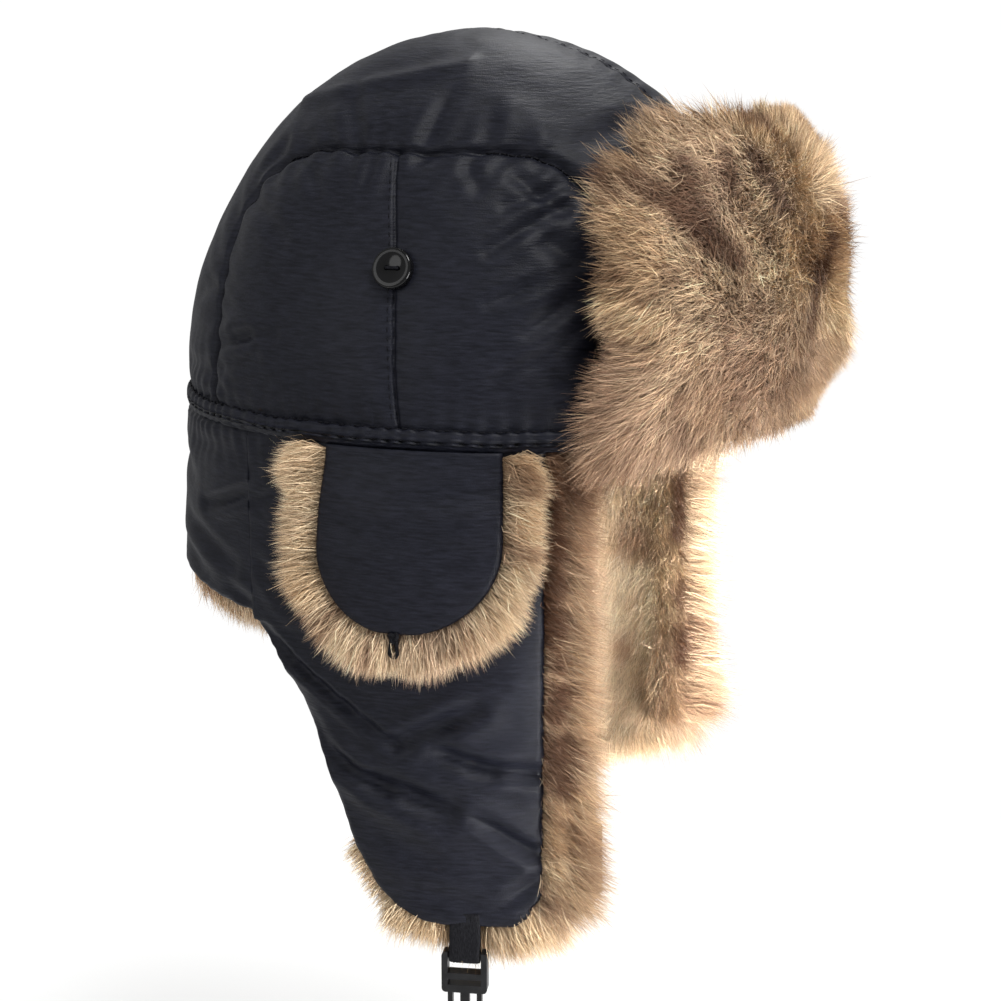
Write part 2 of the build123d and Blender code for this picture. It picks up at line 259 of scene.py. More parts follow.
def ramp(tree, source, stops):
    """A colour ramp through (position, colour) stops."""
    node = tree.nodes.new("ShaderNodeValToRGB")
    elements = node.color_ramp.elements
    while len(elements) < len(stops):
        elements.new(0.5)
    for element, (position, colour) in zip(elements, stops):
        element.position = position
        element.color = (*colour, 1)
    tree.links.new(source, node.inputs["Fac"])
    return node.outputs["Color"]


def multiply(tree, amount, first, second):
    """Multiplies one colour socket by another, by an amount."""
    node = tree.nodes.new("ShaderNodeMix")
    node.data_type = "RGBA"
    node.blend_type = "MULTIPLY"
    node.inputs["Factor"].default_value = amount
    tree.links.new(first, node.inputs["A"])
    tree.links.new(second, node.inputs["B"])
    return node.outputs["Result"]


def bump(tree, shader, layers):
    """Chains bump layers of (height socket, strength, distance) into the shader's normal."""
    normal = None
    for height, strength, distance in layers:
        node = add(tree, "ShaderNodeBump", Strength=strength, Distance=distance)
        tree.links.new(height, node.inputs["Height"])
        if normal is not None:
            tree.links.new(normal, node.inputs["Normal"])
        normal = node.outputs["Normal"]
    tree.links.new(normal, shader.inputs["Normal"])


def cloth_material(name, dark, light, rough, gleam, rib=(170, 170, 1250)):
    """Woven cloth with a crosswise rib, fine threads and a slight gleam."""
    material, shader = new_material(name)
    tree = material.node_tree
    ribs = streaks(tree, rib, 2.0)
    threads = streaks(tree, (2600, 2600, 2600), 1.0)
    tone = ramp(tree, ribs, [(0.3, dark), (0.72, light)])
    speckle = ramp(tree, threads, [(0.3, (0.7, 0.7, 0.72)), (0.75, (1.25, 1.25, 1.3))])
    tree.links.new(multiply(tree, 0.6, tone, speckle), shader.inputs["Base Color"])
    shader.inputs["Roughness"].default_value = rough
    shader.inputs["Specular IOR Level"].default_value = gleam
    bump(tree, shader, [(ribs, 0.5, 0.0004), (threads, 0.35, 0.0002)])
    return material


def fur_material(name):
    """Acrylic pile coloured strand by strand, painted shade and light included, with finer variation along
    each strand.
    """
    material, shader = new_material(name)
    tree = material.node_tree
    colour = tree.nodes.new("ShaderNodeAttribute")
    colour.attribute_name = "strand_colour"
    flecks = streaks(tree, (900, 900, 900), 2.0)
    fleck = ramp(tree, flecks, [(0.25, (0.72, 0.7, 0.68)), (0.75, (1.2, 1.2, 1.2))])
    tree.links.new(multiply(tree, 0.5, colour.outputs["Color"], fleck), shader.inputs["Base Color"])
    shader.inputs["Roughness"].default_value = 0.5
    shader.inputs["Specular IOR Level"].default_value = 0.15
    shader.inputs["Sheen Weight"].default_value = 0.06
    return material


def backing_material(name, dark, light):
    """The knitted backing and matted underwool between the roots of the pile, which also serves as painted
    shade between the strands.
    """
    material, shader = new_material(name)
    tree = material.node_tree
    patches = streaks(tree, (60, 60, 60), 4.0)
    fuzz = streaks(tree, (1500, 1500, 700), 3.0)
    tone = ramp(tree, patches, [(0.35, dark), (0.7, light)])
    grain = ramp(tree, fuzz, [(0.3, (0.6, 0.6, 0.6)), (0.7, (1.2, 1.2, 1.2))])
    tree.links.new(multiply(tree, 0.7, tone, grain), shader.inputs["Base Color"])
    shader.inputs["Roughness"].default_value = 0.95
    shader.inputs["Sheen Weight"].default_value = 0.3
    bump(tree, shader, [(fuzz, 0.9, 0.0012)])
    return material


def plastic_material(name, dark, light, rough, coat, gleam):
    """Moulded plastic with a faint tonal drift and fine moulding grain."""
    material, shader = new_material(name)
    tree = material.node_tree
    drift = streaks(tree, (220, 220, 220), 2.0)
    grain = streaks(tree, (3200, 3200, 3200), 2.0)
    tree.links.new(ramp(tree, drift, [(0.3, dark), (0.7, light)]), shader.inputs["Base Color"])
    shade = tree.nodes.new("ShaderNodeMapRange")
    shade.inputs["To Min"].default_value = rough * 0.85
    shade.inputs["To Max"].default_value = rough * 1.2
    tree.links.new(grain, shade.inputs["Value"])
    tree.links.new(shade.outputs["Result"], shader.inputs["Roughness"])
    shader.inputs["Specular IOR Level"].default_value = gleam
    shader.inputs["Coat Weight"].default_value = coat
    shader.inputs["Coat Roughness"].default_value = 0.03
    bump(tree, shader, [(grain, 0.08, 0.0001)])
    return material


NYLON = cloth_material("navy_nylon", (0.0030, 0.0034, 0.0062), (0.0105, 0.0112, 0.0175), 0.5, 0.14)
SATIN = cloth_material("lining_satin", (0.004, 0.004, 0.006), (0.010, 0.010, 0.014),
                       0.3, 0.25, (700, 700, 700))
WEBBING = cloth_material("strap_webbing", (0.002, 0.002, 0.003), (0.011, 0.011, 0.013),
                         0.75, 0.1, (300, 2400, 900))
THREAD = cloth_material("black_thread", (0.001, 0.001, 0.002), (0.006, 0.006, 0.009),
                        0.6, 0.1, (1800, 1800, 1800))
ELASTIC = cloth_material("elastic_cord", (0.002, 0.002, 0.003), (0.009, 0.009, 0.011),
                         0.7, 0.1, (900, 900, 2600))
FUR = fur_material("faux_fur")
# The backing is coloured dark brown partly as painted shade, so the gaps between the strands look shaded.
BACKING = backing_material("fur_backing", (0.10, 0.055, 0.036), (0.30, 0.20, 0.13))
GLOSS = plastic_material("button_gloss", (0.001, 0.001, 0.0012), (0.003, 0.003, 0.0034), 0.1, 0.12, 0.18)
BUCKLE = plastic_material("buckle_acetal", (0.004, 0.004, 0.0045), (0.010, 0.010, 0.011), 0.4, 0.0, 0.22)


# ---------------------------------------------------------------- stitches

def stitches(name, paths, normals, body, pitch=3.0 * MM, radius=0.24 * MM, fill=0.72):
    """One piece with a lens-shaped stitch every `pitch` along each path of surface points."""
    rings, around = 5, 6
    points, faces = [], []
    turn = np.linspace(0, 2 * np.pi, around, endpoint=False)
    station = np.linspace(-1, 1, rings)
    girth = radius * np.sqrt(np.maximum(1 - station ** 4, 0.04))
    for path, normal in zip(paths, normals):
        step = np.linalg.norm(np.diff(path, axis=0), axis=1)
        travel = np.concatenate([[0], np.cumsum(step)])
        for middle in np.arange(pitch / 2, travel[-1] - pitch / 2, pitch):
            centre = np.array([np.interp(middle, travel, path[:, k]) for k in range(3)])
            ahead = np.array([np.interp(middle + pitch / 3, travel, path[:, k]) for k in range(3)])
            up = unit(np.array([np.interp(middle, travel, normal[:, k]) for k in range(3)]))
            along = unit(ahead - centre)
            across = unit(np.cross(up, along))
            ring = np.cos(turn)[:, None] * across + np.sin(turn)[:, None] * up
            body_points = (centre + station[:, None, None] * along * pitch * fill / 2
                           + girth[:, None, None] * ring[None])
            start = len(points) * rings * around
            points.append(body_points.reshape(-1, 3))
            faces += grid_faces(rings, around, start, wrap=True, flip=True)
            faces += [list(range(start, start + around)),
                      list(range(start + rings * around - 1, start + (rings - 1) * around - 1, -1))]
    obj = make_object(name, np.concatenate(points), faces, THREAD)
    settle(obj, body, [])


# ---------------------------------------------------------------- crown

CROWN_CREASES = [
    (67, 25, 50, 30, 2.6, 1.7), (56, 29, 37, 32, 2.4, 1.3), (65, 19, 45, 24, 2.8, 1.0),
    (60, 13, 40, 17, 3.0, 0.5), (57, 72, 38, 61, 3.0, 0.9), (61, 79, 51, 90, 2.0, 1.0),
    (26, 105, 19, 90, 3.4, 1.2), (-9, 105, -5, 89, 3.2, 1.3), (-2, 84, -9, 88, 2.0, 1.0),
    (-35, 82, -51, 71, 2.2, 1.3), (-35, 73, -51, 79, 2.0, 0.9), (-32, 60, -51, 73, 2.4, 1.2),
    (-34, 45, -47, 50, 2.2, 1.0), (-46, 64, -57, 57, 3.0, 1.2), (-46, 37, -57, 46, 3.0, 1.2),
    (-50, 25, -60, 18, 3.5, 1.1), (-38, 22, -56, 32, 2.5, 0.8), (36, 84, 28, 76, 2.2, 0.7),
    (10, 84, 12, 76, 2.0, 0.6), (-20, 86, -26, 78, 2.2, 0.8), (84, 40, 74, 44, 3.0, 0.9),
    (88, 16, 74, 18, 3.0, 0.9), (-63, 96, -48, 90, 4.0, 1.0),
]
TOP_RIDGE = (51, 102, -10, 114)
SHOULDER_RIDGE = (-30, 99, -53, 85)
SEAM_LEAN = [(0, -8.8), (6, -8.5), (36, -5.5), (54, -4), (63, -2.5), (89, 3)]


def seam_line(z):
    """Where the side seam runs, as y, at a height: it leans back towards the top."""
    return np.interp(z, [h * MM for h, _ in SEAM_LEAN], [y * MM for _, y in SEAM_LEAN])


def ellipsoid_normal(points):
    """Outward direction of the crown's ellipsoid at its points."""
    return unit(points / np.array([WIDTH, LENGTH, HEIGHT]) ** 2)


def panel_distance(y, z):
    """Signed distance in side view to the outline of the arched side panel, negative inside."""
    middle = (PANEL_REAR + PANEL_FRONT) / 2
    across = np.abs(y - middle) - ((PANEL_REAR - PANEL_FRONT) / 2 - PANEL_CORNER)
    upward = np.abs(z) - (PANEL_TOP - PANEL_CORNER)
    outside = np.hypot(np.maximum(across, 0), np.maximum(upward, 0))
    return outside + np.minimum(np.maximum(across, upward), 0) - PANEL_CORNER


def puckers(along, distance, points, seed, pitch=8.5 * MM, reach=7.0 * MM):
    """Gathers that fade away from a seam."""
    drift = noise(points, 18 * MM, seed)
    waves = np.sin(2 * np.pi * along / pitch + 4.0 * drift)
    strength = 0.65 + 0.6 * noise(points, 26 * MM, seed + 1)
    return waves * strength * np.exp(-distance / reach)


def crown_relief(points):
    """How far the padded cloth stands above or below the plain ellipsoid."""
    x, y, z = points[:, 0], points[:, 1], points[:, 2]
    waver = 0.7 * MM * noise(points, 9 * MM, 11)
    outline = panel_distance(y, z) + waver
    arch = np.abs(outline)
    ridge_seam = np.abs(x + 0.4 * waver)
    side_seam = np.where(outline < 0, np.abs(y - seam_line(z) + 0.3 * waver), 1.0)
    hem = np.abs(z - HEM_TOP) + 0.5 * MM
    nearest = np.minimum(np.minimum(arch, ridge_seam), np.minimum(side_seam + 1.5 * MM, hem))
    relief = 2.4 * MM * (1 - np.exp(-nearest / (8 * MM)))
    relief -= 1.9 * MM * np.exp(-(arch / (0.95 * MM)) ** 2)
    relief -= 1.4 * MM * np.exp(-(ridge_seam / (0.9 * MM)) ** 2)
    relief -= 1.0 * MM * np.exp(-(side_seam / (0.6 * MM)) ** 2)
    middle = (PANEL_REAR + PANEL_FRONT) / 2
    around = np.arctan2(z, y - middle) * 75 * MM
    relief += 0.75 * MM * puckers(around, arch, points, 21)
    relief += 0.55 * MM * puckers(np.arctan2(z, y) * 110 * MM, ridge_seam, points, 31, 7.5 * MM)
    relief += 0.25 * MM * puckers(z, side_seam, points, 41, 6.0 * MM, 4.0 * MM)
    girth = np.arctan2(y / LENGTH, x / WIDTH) * GIRTH_RADIUS
    relief += 0.6 * MM * puckers(girth, hem, points, 51, 6.5 * MM, 6.0 * MM)
    relief += folds(y, z, CROWN_CREASES) * smooth(0.0, 0.02, np.abs(x))
    crest, _ = line_distance(y, z, TOP_RIDGE)
    relief += 1.3 * MM * np.exp(-(crest / (2.4 * MM)) ** 2)
    shoulder, _ = line_distance(y, z, SHOULDER_RIDGE)
    relief += 1.6 * MM * np.exp(-(shoulder / (4.5 * MM)) ** 2)
    relief += 0.55 * MM * noise(points, 24 * MM, 61) + 0.22 * MM * noise(points, 8 * MM, 62)
    return relief


def dome_grid(count):
    """Points of a half-ellipsoid of radius 1, from a square grid wrapped to a disc, with no pole."""
    line = np.linspace(-1, 1, count)
    u, v = np.meshgrid(line, line, indexing="ij")
    wide = np.abs(u) >= np.abs(v)
    by_u = np.pi / 4 * v / np.where(u == 0, 1, u)
    by_v = np.pi / 2 - np.pi / 4 * u / np.where(v == 0, 1, v)
    angle = np.where(wide, by_u, by_v)
    signed = np.where(wide, u, v)
    tilt = np.abs(signed) * np.pi / 2
    turn = np.where(signed < 0, angle + np.pi, angle)
    return np.stack([np.sin(tilt) * np.cos(turn), np.sin(tilt) * np.sin(turn), np.cos(tilt)], -1)


def make_crown():
    """The padded nylon of the crown, in one piece with its seams, and the quilted lining inside it."""
    count = 520
    base = dome_grid(count).reshape(-1, 3)
    surface = base * np.array([WIDTH, LENGTH, HEIGHT])
    normal = ellipsoid_normal(surface)
    outer = surface + normal * crown_relief(surface)[:, None]
    inner = surface - normal * 3.4 * MM
    inner[:, 2] = np.maximum(inner[:, 2], 0)
    outer[:, 2] = np.maximum(outer[:, 2], 0)
    grid = (count, count, 3)
    shell = closed_sheet("crown_cloth", outer.reshape(grid), inner.reshape(grid), NYLON)
    panels = [f"{s}_{p}" for s in SIDES for p in ("side_panel_front", "side_panel_rear", "crown_panel")]
    settle(shell, "crown", panels + [f"{panel}_wadding" for panel in panels])
    make_lining()
    make_crown_stitches()


def make_lining():
    """Satin lining, quilted in diamonds."""
    count = 220
    base = dome_grid(count).reshape(-1, 3)
    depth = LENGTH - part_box("crown_lining")[1].y
    surface = base * (np.array([WIDTH, LENGTH, HEIGHT]) - depth)
    normal = unit(base)
    turn = np.arctan2(base[:, 1], base[:, 0]) / (2 * np.pi) * 24
    rise = np.arccos(np.clip(base[:, 2], -1, 1)) / (np.pi / 2) * 5
    cushion = np.abs(np.sin(np.pi * (turn + rise) / 2) * np.sin(np.pi * (turn - rise) / 2)) ** 0.5
    inner = surface - normal * (0.8 + 2.0 * cushion)[:, None] * MM
    inner[:, 2] = np.maximum(inner[:, 2], 0)
    grid = (count, count, 3)
    lining = closed_sheet("crown_lining_cloth", surface.reshape(grid), inner.reshape(grid), SATIN)
    settle(lining, "crown", ["crown_lining"])


def on_crown(points):
    """Moves points in side view, (side, y, z), onto the padded crown, and gives the normals there."""
    surface = points.copy()
    reach = 1 - (points[:, 1] / LENGTH) ** 2 - (points[:, 2] / HEIGHT) ** 2
    surface[:, 0] = points[:, 0] * WIDTH * np.sqrt(np.maximum(reach, 0))
    normal = ellipsoid_normal(surface)
    return surface + normal * crown_relief(surface)[:, None], normal


def arch_path(side, inset):
    """Points around the arched seam of a side panel, `inset` inside it, from front foot to rear foot."""
    middle = (PANEL_REAR + PANEL_FRONT) / 2
    half, corner = (PANEL_REAR - PANEL_FRONT) / 2 - inset, PANEL_CORNER - inset
    top = PANEL_TOP - inset
    turn = np.linspace(0, np.pi / 2, 60)
    straight = np.linspace(HEM_TOP + 1.5 * MM, top - corner, 50)
    foot = np.full(50, half)
    across = half - corner * (1 - np.cos(turn))
    climb = top - corner + corner * np.sin(turn)
    y = np.concatenate([-foot, -across, across[::-1], foot])
    z = np.concatenate([straight, climb, climb[::-1], straight[::-1]])
    return np.stack([np.full(len(y), float(side)), y + middle, z], 1)


def make_crown_stitches():
    """Topstitching beside the side seams and the centre seam, and the stitches sunk in the arched seams."""
    paths, normals, deep_paths, deep_normals = [], [], [], []
    rise = np.linspace(HEM_TOP + 2 * MM, PANEL_TOP - 2 * MM, 60)
    for side in (-1, 1):
        line = np.stack([np.full(60, float(side)), seam_line(rise) + 1.8 * MM, rise], 1)
        path, normal = on_crown(line)
        paths.append(path)
        normals.append(normal)
        path, normal = on_crown(arch_path(side, 0))
        deep_paths.append(path + normal * 0.25 * MM)
        deep_normals.append(normal)
    for shift in (-2.2, 2.2):
        turn = np.linspace(0.06, np.pi - 0.06, 160)
        line = np.stack([np.full(160, shift * MM), LENGTH * np.cos(turn), HEIGHT * np.sin(turn)], 1)
        normal = ellipsoid_normal(line)
        paths.append(line + normal * crown_relief(line)[:, None])
        normals.append(normal)
    stitches("crown_topstitches", paths, normals, "crown", radius=0.2 * MM, fill=0.6)
    stitches("crown_seam_stitches", deep_paths, deep_normals, "crown",
             pitch=2.6 * MM, radius=0.42 * MM, fill=0.94)


def make_hem():
    """The puckered hem band and its two rows of stitches."""
    around, section = 900, 16
    turn = np.linspace(0, 2 * np.pi, around, endpoint=False)
    ring = np.stack([np.cos(turn), np.sin(turn), np.zeros(around)], 1)
    place = ring * np.array([WIDTH, LENGTH, 1])
    outward = unit(ring / np.array([WIDTH, LENGTH, 1]))
    girth = turn * GIRTH_RADIUS
    wave = np.sin(2 * np.pi * girth / (5.5 * MM) + 3.5 * noise(place, 15 * MM, 71))
    lift = 0.5 * MM * noise(place, 12 * MM, 72)
    loop = np.linspace(0, 2 * np.pi, section, endpoint=False)
    middle, half = HEM_TOP * 0.47, HEM_TOP * 0.48
    rows = []
    for angle in loop:
        bulge = math.cos(angle)
        if bulge > 0:
            depth = (1.9 * MM + 0.25 * MM * wave) * bulge ** 0.45
        else:
            depth = np.full(around, bulge * 1.5 * MM)
        rise = middle + half * np.sin(angle) + lift * 0.6 + 0.3 * MM * wave * abs(math.sin(angle))
        rows.append(place + outward * depth[:, None] + np.stack([0 * girth, 0 * girth, rise], 1))
    points = np.array(rows)
    first = np.arange(around)
    after = np.roll(first, -1)
    last = (section - 1) * around
    closing = np.stack([last + after, after, first, last + first], 1).tolist()
    faces = grid_faces(section, around, wrap=True, flip=True) + closing
    band = make_object("hem_band_cloth", points, faces, NYLON)
    settle(band, "crown", ["hem_band"])
    paths, normals = [], []
    for rise, out in ((HEM_TOP * 0.97, 0.7), (HEM_TOP * 0.02, 0.7)):
        path = place + outward * out * MM + np.stack([0 * girth, 0 * girth, rise + lift * 0.6], 1)
        paths.append(np.concatenate([path, path[:1]]))
        normals.append(np.concatenate([outward, outward[:1]]))
    stitches("hem_stitches", paths, normals, "crown", pitch=2.7 * MM, radius=0.28 * MM, fill=0.8)


# ---------------------------------------------------------------- skirt, ear flaps and covers

FLAP_CREASES = [
    (17, -104, -2, -113, 3.2, 2.6), (0, -110, -23, -118, 4.2, 3.4), (-7, -96, -32, -83, 3.2, 2.6),
    (-19, -97, -36, -104, 3.4, 2.6), (-33, -102, -53, -105, 3.2, 2.2), (-32, -120, -53, -134, 2.8, 2.2),
    (29, -76, 10, -87, 2.0, 1.8), (12, -86, -6, -97, 2.2, 1.6), (44, -66, 27, -77, 2.2, 1.6),
    (34, -84, 14, -106, 3.5, 1.2), (-40, -150, -52, -140, 3.0, 1.2), (46, -24, 38, -18, 2.5, 1.2),
    (46, -44, 34, -55, 3.0, 1.2), (-2, -128, -18, -136, 5.0, 1.0), (-14, -146, -34, -150, 4.0, 0.8),
]
NAPE_CREASES = [
    (72, -30, 50, -20, 2.4, 2.0), (84, -40, 60, -47, 3.5, 1.4), (60, -56, 50, -60, 3.0, 1.2),
    (99, -14, 84, -24, 4.0, 1.2), (92, -52, 74, -56, 3.5, 1.2), (80, -10, 62, -8, 3.0, 0.8),
]
SWEEP = [
    (0, 50), (-61, 50), (-65, 48.5), (-72, 41.5), (-83, 33), (-100, 23.5), (-118, 15.5),
    (-134, 9.5), (-147, 2), (-153, -5), (-156.5, -13), (-158, -24),
]


def flap_edges(z):
    """Front and rear edge of the ear flap at a height, as y."""
    heights = np.array([h for h, _ in SWEEP[::-1]]) * MM
    rear = np.interp(z, heights, np.array([y for _, y in SWEEP[::-1]]) * MM)
    near_tip = np.clip((z - FLAP_BOTTOM) / (14 * MM), 0, 1)
    front = FLAP_FRONT + 12 * MM * quarter(1 - near_tip)
    notch = 1.6 * MM * np.exp(-((z - FLAP_BOTTOM - 7 * MM) / (1.8 * MM)) ** 2)
    return front + notch, rear


def skirt_place(y, z, inset):
    """Points of the skirt's wall on the wearer's right, `inset` inside its outer face."""
    turn = np.clip(y / LENGTH, -1, 1)
    x = -(WIDTH - inset) * np.sqrt(1 - turn ** 2)
    return np.stack([x, y * (1 - inset / LENGTH), z + 0 * y], -1)


def skirt_outward(y):
    """Outward direction of the skirt's wall on the wearer's right."""
    turn = np.clip(y / LENGTH, -1, 1)
    out = np.stack([-np.sqrt(1 - turn ** 2) / WIDTH, turn / LENGTH, 0 * turn], -1)
    return unit(out)


def skirt_relief(y, z, creases, edge):
    """Padding, folds and unevenness of the hanging cloth, falling off towards its free edge."""
    place = skirt_place(y, z, 0)
    relief = 0.9 * MM * (1 - np.exp(-edge / (7 * MM)))
    relief += folds(y, z, creases)
    relief += 0.9 * MM * noise(place, 30 * MM, 81) + 0.35 * MM * noise(place, 11 * MM, 82)
    girth = np.arcsin(np.clip(y / LENGTH, -1, 1)) * GIRTH_RADIUS
    relief += 0.45 * MM * puckers(girth, -z, place, 91, 6.5 * MM, 7.0 * MM)
    relief += 0.25 * MM * puckers(z + y, edge, place, 95, 7.5 * MM, 3.0 * MM)
    relief -= 2.2 * MM * rolled(edge, 2.4 * MM)
    return relief * smooth(0.0, -2.5 * MM, z)


def make_flap_cloth(name, side):
    """The nylon of one ear flap, from the hem to the tip, unbroken behind the ear cover."""
    rows, columns = 300, 150
    z = -np.linspace(0, 1, rows) * -FLAP_BOTTOM
    across = np.linspace(0, 1, columns)
    front, rear = flap_edges(z)
    y = front[:, None] + (rear - front)[:, None] * across[None]
    height = np.broadcast_to(z[:, None], y.shape)
    free_rear = smooth(NAPE_BOTTOM + 4 * MM, NAPE_BOTTOM - 2 * MM, height)
    edge = np.minimum(y - front[:, None], height - FLAP_BOTTOM)
    rear_gap = (rear[:, None] - y) * 0.8 + (1 - free_rear) * 1.0
    edge = np.minimum(edge, rear_gap)
    relief = skirt_relief(y, height, FLAP_CREASES, edge)
    outward = skirt_outward(y)
    base = skirt_place(y, height, 0)
    outer = base + outward * relief[..., None]
    inner = base - outward * CLOTH_DEPTH
    cloth = sided_sheet(f"{name}_ear_flap_cloth", outer, inner, side, hung, NYLON)
    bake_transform(cloth)
    dress([f"{name}_ear_flap_shell", f"{name}_ear_flap_wadding"])


def nape_wall(turn, z):
    """Points of the nape skirt's plain wall, and the outward direction there."""
    outward = unit(np.stack([-np.cos(turn) / WIDTH, np.sin(turn) / LENGTH, 0 * turn], -1))
    return np.stack([-WIDTH * np.cos(turn), LENGTH * np.sin(turn), z], -1), outward


def flared(points, outward, turn, z):
    """Points of the nape skirt, standing out and up towards its hem, but not at its seams with the flaps."""
    share = np.clip(z / NAPE_BOTTOM, 0, 1)
    rear = math.pi - NAPE_SEAM
    flare = (smooth(NAPE_SEAM, NAPE_SEAM + 0.6, turn) * smooth(rear, rear - 0.6, turn) * share)[..., None]
    return points + outward * NAPE_FLARE * flare - DOWN * NAPE_RISE * flare


def make_nape_cloth():
    """The nylon skirt behind the ear flaps."""
    rows, columns = 120, 360
    turn = np.linspace(NAPE_SEAM, math.pi - NAPE_SEAM, columns)
    z = -np.linspace(0, 1, rows) * -NAPE_BOTTOM
    turn, height = np.meshgrid(turn, z)
    y = LENGTH * np.sin(turn)
    edge = height - NAPE_BOTTOM
    relief = skirt_relief(y, height, NAPE_CREASES, edge)
    base, outward = nape_wall(turn, height)
    ripple = 0.8 * MM * noise(base, 22 * MM, 87) * smooth(0.0, -12 * MM, height)
    left_rear = (np.cos(turn) < 0) * smooth(math.pi - 0.7, math.pi - 1.1, turn)
    base = flared(base, outward, turn, height)
    outer = base + outward * (relief + ripple * left_rear)[..., None]
    inner = base - outward * CLOTH_DEPTH
    cloth = closed_sheet("nape_cloth", outer[:, ::-1], inner[:, ::-1], NYLON)
    settle(cloth, "crown", ["nape_shell", "nape_wadding"])


def cover_half_width(z, corner, border=0.0):
    """Half the ear cover's width at a height, with a border added all round, for one of its corners."""
    bottom = COVER_LOW.z - border
    corner = corner + border
    drop = np.clip((bottom + corner - z) / corner, 0, 1)
    return COVER_HALF + border - corner * quarter(drop)


def cover_edges(z, border=0.0):
    """Front and rear edges of the ear cover at a height, as y; its front corner is the rounder one."""
    return COVER_Y - cover_half_width(z, 30.4 * MM, border), COVER_Y + cover_half_width(z, 25 * MM, border)


def cover_lift(z):
    """How far the ear cover's outer face stands out from the ear flap's: it fills out below the hem."""
    return (1.6 + 6.4 * smooth(0.0, -0.028, z)) * MM


def make_cover_cloth(name, side):
    """The small nylon flap over the ear hole."""
    rows, columns = 110, 110
    z = COVER_HIGH.z + 1.3 * MM + np.linspace(0, 1, rows) ** 0.85 * (COVER_LOW.z - COVER_HIGH.z - 1.3 * MM)
    front, rear = cover_edges(z)
    across = np.linspace(-1, 1, columns)
    y = ((front + rear) / 2)[:, None] + ((rear - front) / 2)[:, None] * across[None]
    height = np.broadcast_to(z[:, None], y.shape)
    from_sides = ((rear - front) / 2)[:, None] * (1 - np.abs(across[None]))
    edge = np.minimum(from_sides, (height - COVER_LOW.z) * 0.9)
    place = skirt_place(y, height, 0)
    relief = cover_lift(height) + 0.9 * MM * (1 - np.exp(-edge / (6 * MM)))
    relief += 0.5 * MM * noise(place, 20 * MM, 101) + 0.2 * MM * noise(place, 8 * MM, 102)
    relief += folds(y, height, [(18, -24, -34, -30, 5.0, 0.9), (-36, -12, -14, -16, 3.5, 0.6)])
    relief -= 1.6 * MM * rolled(edge, 1.8 * MM)
    outward = skirt_outward(y)
    outer = place + outward * relief[..., None]
    inner = place + outward * (cover_lift(height) - 1.9 * MM)[..., None]
    cloth = sided_sheet(f"{name}_ear_cover_cloth", outer, inner, side, mirrored, NYLON)
    settle(cloth, f"{name}_ear_cover", [f"{name}_ear_cover_shell"])


# ---------------------------------------------------------------- fur

LIGHT = np.array([0.83, 0.65, 0.43])
TAN = np.array([0.55, 0.375, 0.215])
ROSE = np.array([0.37, 0.215, 0.16])
BROWN = np.array([0.19, 0.083, 0.045])
DARK = np.array([0.055, 0.023, 0.014])
LEVELS = (0.0, 0.5, 1.0)
STRANDS_A_PIECE = 39000


def fur_colours(spine, locks, seed, marks, random):
    """Colours of every strand at each level from root to tip, in patches of tan, rose and brown, with painted
    shade darkening the roots and painted light brightening the tips.
    """
    roots = spine[:, 0]
    count = len(roots)
    patch = np.clip(0.5 + 0.45 * noise(roots, 20 * MM, seed) + 0.3 * noise(roots, 6 * MM, seed + 1)
                    + 0.2 * random.normal(0, 1, count), 0, 1)[:, None]
    rosy = smooth(-0.1, 0.8, noise(roots, 26 * MM, seed + 2) + random.normal(0, 0.4, count))[:, None]
    base = LIGHT * (1 - patch) + TAN * patch
    base = base * (1 - 0.5 * rosy) + ROSE * 0.5 * rosy
    lock_shade = np.random.default_rng(seed + 9).uniform(0.78, 1.18, locks.max() + 1)[locks]
    base *= (lock_shade * random.uniform(0.5, 1.42, count))[:, None]
    visible = spine[:, 1] * 0.45 + spine[:, 2] * 0.55
    marked = marks(visible) if marks else np.zeros(count)
    dark = np.clip(marked + random.normal(0, 0.12, count) * (0.3 + marked), 0, 1)[:, None]
    toward = BROWN * (1 - 0.6 * dark) + DARK * 0.6 * dark
    tipped = random.random(count) < 0.25
    colours = np.ones((count, len(LEVELS), 4))
    for k, level in enumerate(LEVELS):
        # Painted shade and light: each strand is darker at its root, where the pile shades itself, and
        # lighter towards its tip.
        shade = base * (0.48 + 0.62 * level ** 0.55)
        tip = np.where(tipped, 0.75 * level ** 2, 0.0)[:, None]
        shade = shade * (1 - tip) + BROWN * tip
        colours[:, k, :3] = np.clip(shade * (1 - 0.92 * dark) + toward * 0.92 * dark, 0, 0.92)
    return colours


def lock_numbers(roots, cell):
    """Which lock of hair each root belongs to."""
    keys = np.floor(roots / cell + 0.8 * noise(roots, 3 * cell, 77)[:, None]).astype(int)
    _, locks = np.unique(keys, axis=0, return_inverse=True)
    return locks.ravel()


def lock_mean(locks, values):
    """Each strand's average over its lock."""
    members = np.bincount(locks)
    return np.stack([np.bincount(locks, values[:, k]) / members for k in range(3)], 1)[locks]


